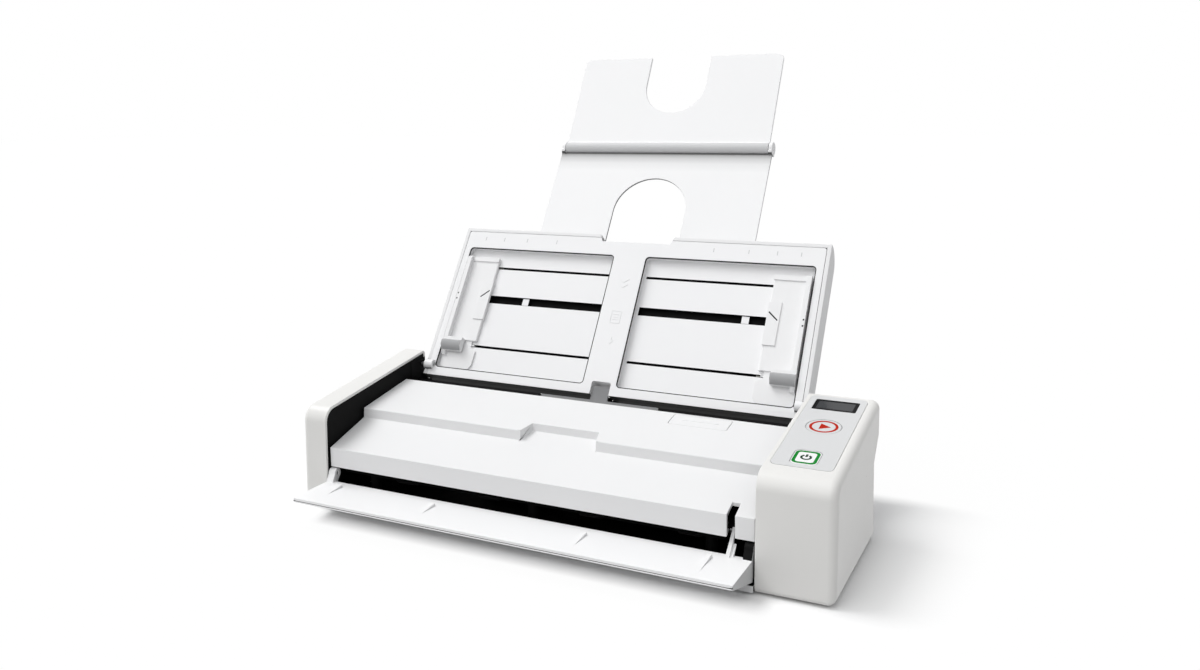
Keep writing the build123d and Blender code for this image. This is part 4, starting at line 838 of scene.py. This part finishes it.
def makePaintedShadows(v):
    # painted shadow: a dark line round each sunk field, where its wall is in shade
    field, line = v["field"], v["line"]
    bm = bmesh.new()
    width, height = field["outer"] - field["inner"], field["high"] - field["low"]
    edge = roundedOutline(width - field["inset"], height - field["inset"], field["corner"])
    narrower, lower = width - 2 * line["width"], height - 2 * line["width"]
    inside = roundedOutline(narrower, lower, field["corner"] - line["width"])
    for side in (-1, 1):
        centre = (side * (field["inner"] + field["outer"]) / 2, (field["low"] + field["high"]) / 2)
        addBand(bm, trayPlane, centre, edge, inside, *line["levels"])
    finishedPiece("field_shadow_lines", bm, "paintedShadowLine", "tray")

    # painted shade along the foot of each fence, and the two dots on its clip
    strip, dots = v["guideShadeLine"], v["clipDots"]
    half = dots["size"] / 2
    for side, guide in ((-1, "left_paper_guide"), (1, "right_paper_guide")):
        bm = bmesh.new()
        sides = sorted((side * strip["x"], side * (strip["x"] + strip["thick"])))
        addPrism(bm, trayPlane, (0, 0), boxOutline(*sides, *strip["along"]), *strip["levels"])
        for along in dots["along"]:
            dot = boxOutline(-half, half, -half, half)
            addPrism(bm, trayPlane, (side * dots["x"], along), dot, *dots["levels"])
        finishedPiece(guide + "_line", bm, "paintedShadowLine", bodyOf[guide])

    # painted shade: black slabs at the paper entry, for the dark wall edge and the gaps by the tray's foot
    bm = bmesh.new()
    edge = v["wallShadeSlab"]
    outline = [(layout["caseFront"] + back, layout["footHeight"] + up) for back, up in edge["outline"]]
    addSlab(bm, edge["x"], outline)
    for sides, depth, height in v["gapShadeSlabs"]:
        addSlab(bm, sides, boxOutline(*depth, *height))
    finishedPiece("entry_edges", bm, "black", "base")


makePaintedShadows(paintedShadowValues)
print("marks laid on the panel and the rail")


# pieces that repeat, grown by geometry nodes
class Grower(Finish):
    # the same way of adding nodes, in a geometry tree with named inputs
    def __init__(self, name, inputs):
        self.tree = bpy.data.node_groups.new(name, "GeometryNodeTree")
        face = self.tree.interface
        face.new_socket("Geometry", in_out="OUTPUT", socket_type="NodeSocketGeometry")
        face.new_socket("Geometry", in_out="INPUT", socket_type="NodeSocketGeometry")
        self.keys = {}
        for label in inputs:
            kind = "NodeSocketInt" if isinstance(inputs[label], int) else "NodeSocketFloat"
            self.keys[label] = face.new_socket(label, in_out="INPUT", socket_type=kind).identifier
        self.values = inputs
        self.entry = self.tree.nodes.new("NodeGroupInput")

    def given(self, label):
        return Wire(self, self.entry.outputs[label])

    def vector(self, x, y, z):
        return self.node("ShaderNodeCombineXYZ", None, {0: x, 1: y, 2: z})

    def box(self, x, y, z):
        return self.node("GeometryNodeMeshCube", None, {"Size": self.vector(x, y, z)})

    def cylinder(self, corners, radius, depth):
        sockets = {"Vertices": corners, "Radius": radius, "Depth": depth}
        return self.node("GeometryNodeMeshCylinder", None, sockets)

    def joined(self, *parts):
        made = self.tree.nodes.new("GeometryNodeJoinGeometry")
        for part in reversed(parts):
            self.tree.links.new(part.out, made.inputs[0])
        return Wire(self, made.outputs[0])

    def cut(self, body, *tools):
        made = self.tree.nodes.new("GeometryNodeMeshBoolean")
        made.operation = "DIFFERENCE"
        made.solver = "EXACT"
        self.tree.links.new(body.out, made.inputs["Mesh 1"])
        for tool in tools:
            self.tree.links.new(tool.out, made.inputs["Mesh 2"])
        return Wire(self, made.outputs[0])

    def placed(self, part, **how):
        return self.node("GeometryNodeTransform", None, {"Geometry": part, **how})

    def repeated(self, points, part, **how):
        return self.node("GeometryNodeInstanceOnPoints", None, {"Points": points, "Instance": part, **how})

    def grow(self, name, places, part, finish, body, slot):
        # one of the part at every place, in millimetres
        result = self.repeated(self.given("Geometry"), part)
        solid = self.node("GeometryNodeRealizeInstances", None, {0: result})
        painted = {"Geometry": solid, "Material": finishes[finish]}
        leave = self.tree.nodes.new("NodeGroupOutput")
        self.tree.links.new(self.node("GeometryNodeSetMaterial", None, painted).out, leave.inputs[0])
        host = bpy.data.meshes.new("places")
        host.from_pydata([Vector(place) * mm for place in places], [], [])
        maker = linked("maker", host)
        growth = maker.modifiers.new("growth", "NODES")
        growth.node_group = self.tree
        for label, key in self.keys.items():
            growth[key] = self.values[label]
        piece = plainMesh(maker, name)
        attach(piece, body)
        return piece


# the thread's widths are in shank radii, its start in head heights, its depth and step in parts of the shank
screwValues = {
    "places": ((-110, -88.01), (-9, -88.01), (88, -88.01), (-110, -21.01), (105, -21.01)),
    "headLow": 1.3,
    "headCorners": 28,
    "shankCorners": 16,
    "threadTop": 0.9,
    "threadBottom": 1.15,
    "threadStart": 1.6,
    "threadDepth": 14,
    "threadStep": 11,
    "inputs": {
        "headRadius": 2.9 * mm,
        "headHeight": 1.1 * mm,
        "shankRadius": 1.25 * mm,
        "shankLength": 7.0 * mm,
        "slotWidth": 0.8 * mm,
        "slotLength": 3.4 * mm,
        "threads": 9,
    },
}


def growScrews(v):
    g = Grower("screwGrowth", v["inputs"])
    height, length, radius = g.given("headHeight"), g.given("shankLength"), g.given("shankRadius")
    head = g.cylinder(v["headCorners"], g.given("headRadius"), height)
    head = g.placed(head, Translation=g.vector(0, 0, height / 2))
    sizes = (g.given("slotWidth"), g.given("slotLength"))
    head = g.cut(head, *[g.box(sizes[turned], sizes[1 - turned], height) for turned in (0, 1)])
    shank = g.cylinder(v["shankCorners"], radius, length)
    shank = g.placed(shank, Translation=g.vector(0, 0, height + length / 2))
    ring = g.node("GeometryNodeMeshCone", None, {
        "Vertices": v["shankCorners"],
        "Radius Top": radius * v["threadTop"],
        "Radius Bottom": radius * v["threadBottom"],
        "Depth": length / v["threadDepth"],
    })
    rows = g.node("GeometryNodeMeshLine", None, {
        "Count": g.given("threads"),
        "Start Location": g.vector(0, 0, height * v["threadStart"]),
        "Offset": g.vector(0, 0, length / v["threadStep"]),
    })
    screw = g.joined(head, shank, g.repeated(rows, ring))
    places = [(x, y, v["headLow"]) for x, y in v["places"]]
    piece = g.grow("screw_set", places, screw, "steel", "base", "steel")
    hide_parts("case_screws")


growScrews(screwValues)


tickValues = {
    "along": 98.3,
    "halfWidths": (52.5, 74.0, 91.0, 105.0),
    "inputs": {"length": 2.6 * mm, "line": 0.4 * mm, "height": 0.24 * mm},
}


def growTicks(v):
    # short raised lines at the tray's rim, where common sheet widths end
    g = Grower("tickGrowth", v["inputs"])
    dash = g.box(g.given("line"), g.given("length"), g.given("height"))
    dash = g.placed(dash, Rotation=(math.radians(layout["trayLean"]), 0.0, 0.0))
    rim = [Vector((side * half, v["along"], 0.0)) * mm for half in v["halfWidths"] for side in (-1, 1)]
    places = [(trayPlane @ place) / mm for place in rim]
    g.grow("size_ticks", places, dash, "keyGrey", "tray", "key_grey")


growTicks(tickValues)


# ribs round the two feed rollers
treadValues = {
    "rollers": ((-25.0, -34.41, 31.78), (7.0, -34.41, 31.78)),
    "inputs": {
        "radius": 9.0 * mm,
        "ribs": 36,
        "ribWidth": 0.7 * mm,
        "ribDepth": 0.5 * mm,
        "ribLength": 18.8 * mm,
    },
}


def growTread(v):
    g = Grower("treadGrowth", v["inputs"])
    rib = g.box(g.given("ribLength"), g.given("ribWidth"), g.given("ribDepth"))
    rib = g.placed(rib, Translation=g.vector(0, 0, g.given("radius")))
    ring = g.node("GeometryNodeMeshCircle", None, {"Vertices": g.given("ribs"), "Radius": mm})
    turn = g.node("GeometryNodeInputIndex") / g.given("ribs") * (2 * math.pi)
    hub = g.node("GeometryNodeSetPosition", None, {"Geometry": ring, "Position": (0.0, 0.0, 0.0)})
    wheel = g.repeated(hub, rib, Rotation=g.vector(turn, 0, 0))
    g.grow("feed_tread", v["rollers"], wheel, "rubber", "feed_roller", "rubber")


growTread(treadValues)
print("screws, ticks and treads grown")


# camera, floor and light
cameraValues = {
    "place": (244.78, -570.74, 218.91),
    "yaw": 28.13,
    "pitch": -6.23,
    "roll": -0.53,
    "lens": 32.23,
    "sensor": 36.0,
    "shift": (0.0633, -0.0816),
    "clip": (0.01, 100.0),
}


def makeCamera(v):
    yaw, pitch, roll = (math.radians(v[key]) for key in ("yaw", "pitch", "roll"))
    ahead = Vector((-math.sin(yaw) * math.cos(pitch), math.cos(yaw) * math.cos(pitch), math.sin(pitch)))
    right = ahead.cross(Vector((0, 0, 1))).normalized()
    upward = right.cross(ahead)
    turnedRight = right * math.cos(roll) + upward * math.sin(roll)
    turnedUp = upward * math.cos(roll) - right * math.sin(roll)
    data = bpy.data.cameras.new("camera")
    data.lens = v["lens"]
    data.sensor_width = v["sensor"]
    data.shift_x, data.shift_y = v["shift"]
    data.clip_start, data.clip_end = v["clip"]
    camera = linked("camera", data)
    axes = Matrix((turnedRight, turnedUp, -ahead)).transposed().to_4x4()
    camera.matrix_world = Matrix.Translation(Vector(v["place"]) * mm) @ axes
    bpy.context.scene.camera = camera


# lengths in metres
floorValues = {
    "half": 12.0,
    "rows": 8,
    "footprint": (0.150, -0.108, 0.045),
    "reach": (0.060, 0.016),
    "glow": 0.97,
    "driftNoise": (3.0, 2.0),
    "seenTones": ((0.97, 0.97, 0.97, 1), (0.99, 0.99, 0.99, 1)),
    "bounceTone": (0.60, 0.60, 0.60, 1),
}


def makeFloor(v):
    # pale board; its own white glows in as painted light a little way out from the object, so the shadow
    # stays close to it
    f = Finish("paperFloor")
    where = f.here()
    rays = ("Is Camera Ray", "Is Glossy Ray", "Is Transmission Ray")
    camera, glossy, through = (f.node("ShaderNodeLightPath", out=ray) for ray in rays)
    seen = f.mixColour(f.noise(where, *v["driftNoise"]), *v["seenTones"])
    board = f.node("ShaderNodeBsdfDiffuse", None, {"Color": f.mixColour(camera, v["bounceTone"], seen)})
    glow = f.node("ShaderNodeEmission", None, {"Color": (1, 1, 1, 1), "Strength": 1.0})
    across, back = f.along(where, "XY")
    halfWidth, front, rear = v["footprint"]
    beside = across.maths("ABSOLUTE", across) - halfWidth
    before = back.maths("ABSOLUTE", back - (front + rear) / 2) - (rear - front) / 2
    beside = beside.maths("MAXIMUM", beside, 0.0) / v["reach"][0]
    before = before.maths("MAXIMUM", before, 0.0) / v["reach"][1]
    away = beside.maths("SQRT", beside * beside + before * before)
    share = camera * away.maths("MINIMUM", away, 1.0) * v["glow"] + (glossy + through) * v["glow"]
    f.end(f.node("ShaderNodeMixShader", None, {0: share, 1: board, 2: glow}))
    mesh = bpy.data.meshes.new("floor")
    bm = bmesh.new()
    bmesh.ops.create_grid(bm, x_segments=v["rows"], y_segments=v["rows"], size=v["half"])
    bm.to_mesh(mesh)
    bm.free()
    floor = linked("floor", mesh)
    mesh.materials.append(f.material)


lampValues = {
    "overhead": {"from": (-0.62, -0.02, 1.0), "strength": 1.60, "spread": 30.0},
    "front": {"from": (-0.20, -0.80, 1.0), "strength": 1.02, "spread": 60.0},
}
roomValues = {"light": 0.41, "colour": (0.98, 0.99, 1.0, 1.0)}


def makeLamp(name, v):
    data = bpy.data.lights.new(name, "SUN")
    data.energy = v["strength"]
    data.angle = math.radians(v["spread"])
    lamp = linked(name, data)
    lamp.rotation_mode = "QUATERNION"
    lamp.rotation_quaternion = Vector(v["from"]).to_track_quat("Z", "Y")


def makeRoom(v):
    # the camera, reflections and clear panes see plain white, all else gets the room's light
    room = bpy.data.worlds.new("room")
    bpy.context.scene.world = room
    room.use_nodes = True
    tree = room.node_tree
    tree.nodes.clear()
    path = tree.nodes.new("ShaderNodeLightPath")
    lit = tree.nodes.new("ShaderNodeBackground")
    lit.inputs["Color"].default_value = v["colour"]
    lit.inputs["Strength"].default_value = v["light"]
    shown = tree.nodes.new("ShaderNodeBackground")
    shown.inputs["Color"].default_value = (1, 1, 1, 1)
    shown.inputs["Strength"].default_value = 1.0
    mixed = tree.nodes.new("ShaderNodeMixShader")
    out = tree.nodes.new("ShaderNodeOutputWorld")
    share = path.outputs["Is Camera Ray"]
    for ray in ("Is Glossy Ray", "Is Transmission Ray"):
        total = tree.nodes.new("ShaderNodeMath")
        tree.links.new(share, total.inputs[0])
        tree.links.new(path.outputs[ray], total.inputs[1])
        share = total.outputs[0]
    tree.links.new(share, mixed.inputs[0])
    tree.links.new(lit.outputs[0], mixed.inputs[1])
    tree.links.new(shown.outputs[0], mixed.inputs[2])
    tree.links.new(mixed.outputs[0], out.inputs[0])


makeCamera(cameraValues)
makeFloor(floorValues)
for name, values in lampValues.items():
    makeLamp(name, values)
makeRoom(roomValues)
bpy.context.scene.view_settings.view_transform = "Standard"
print("camera and light in place")
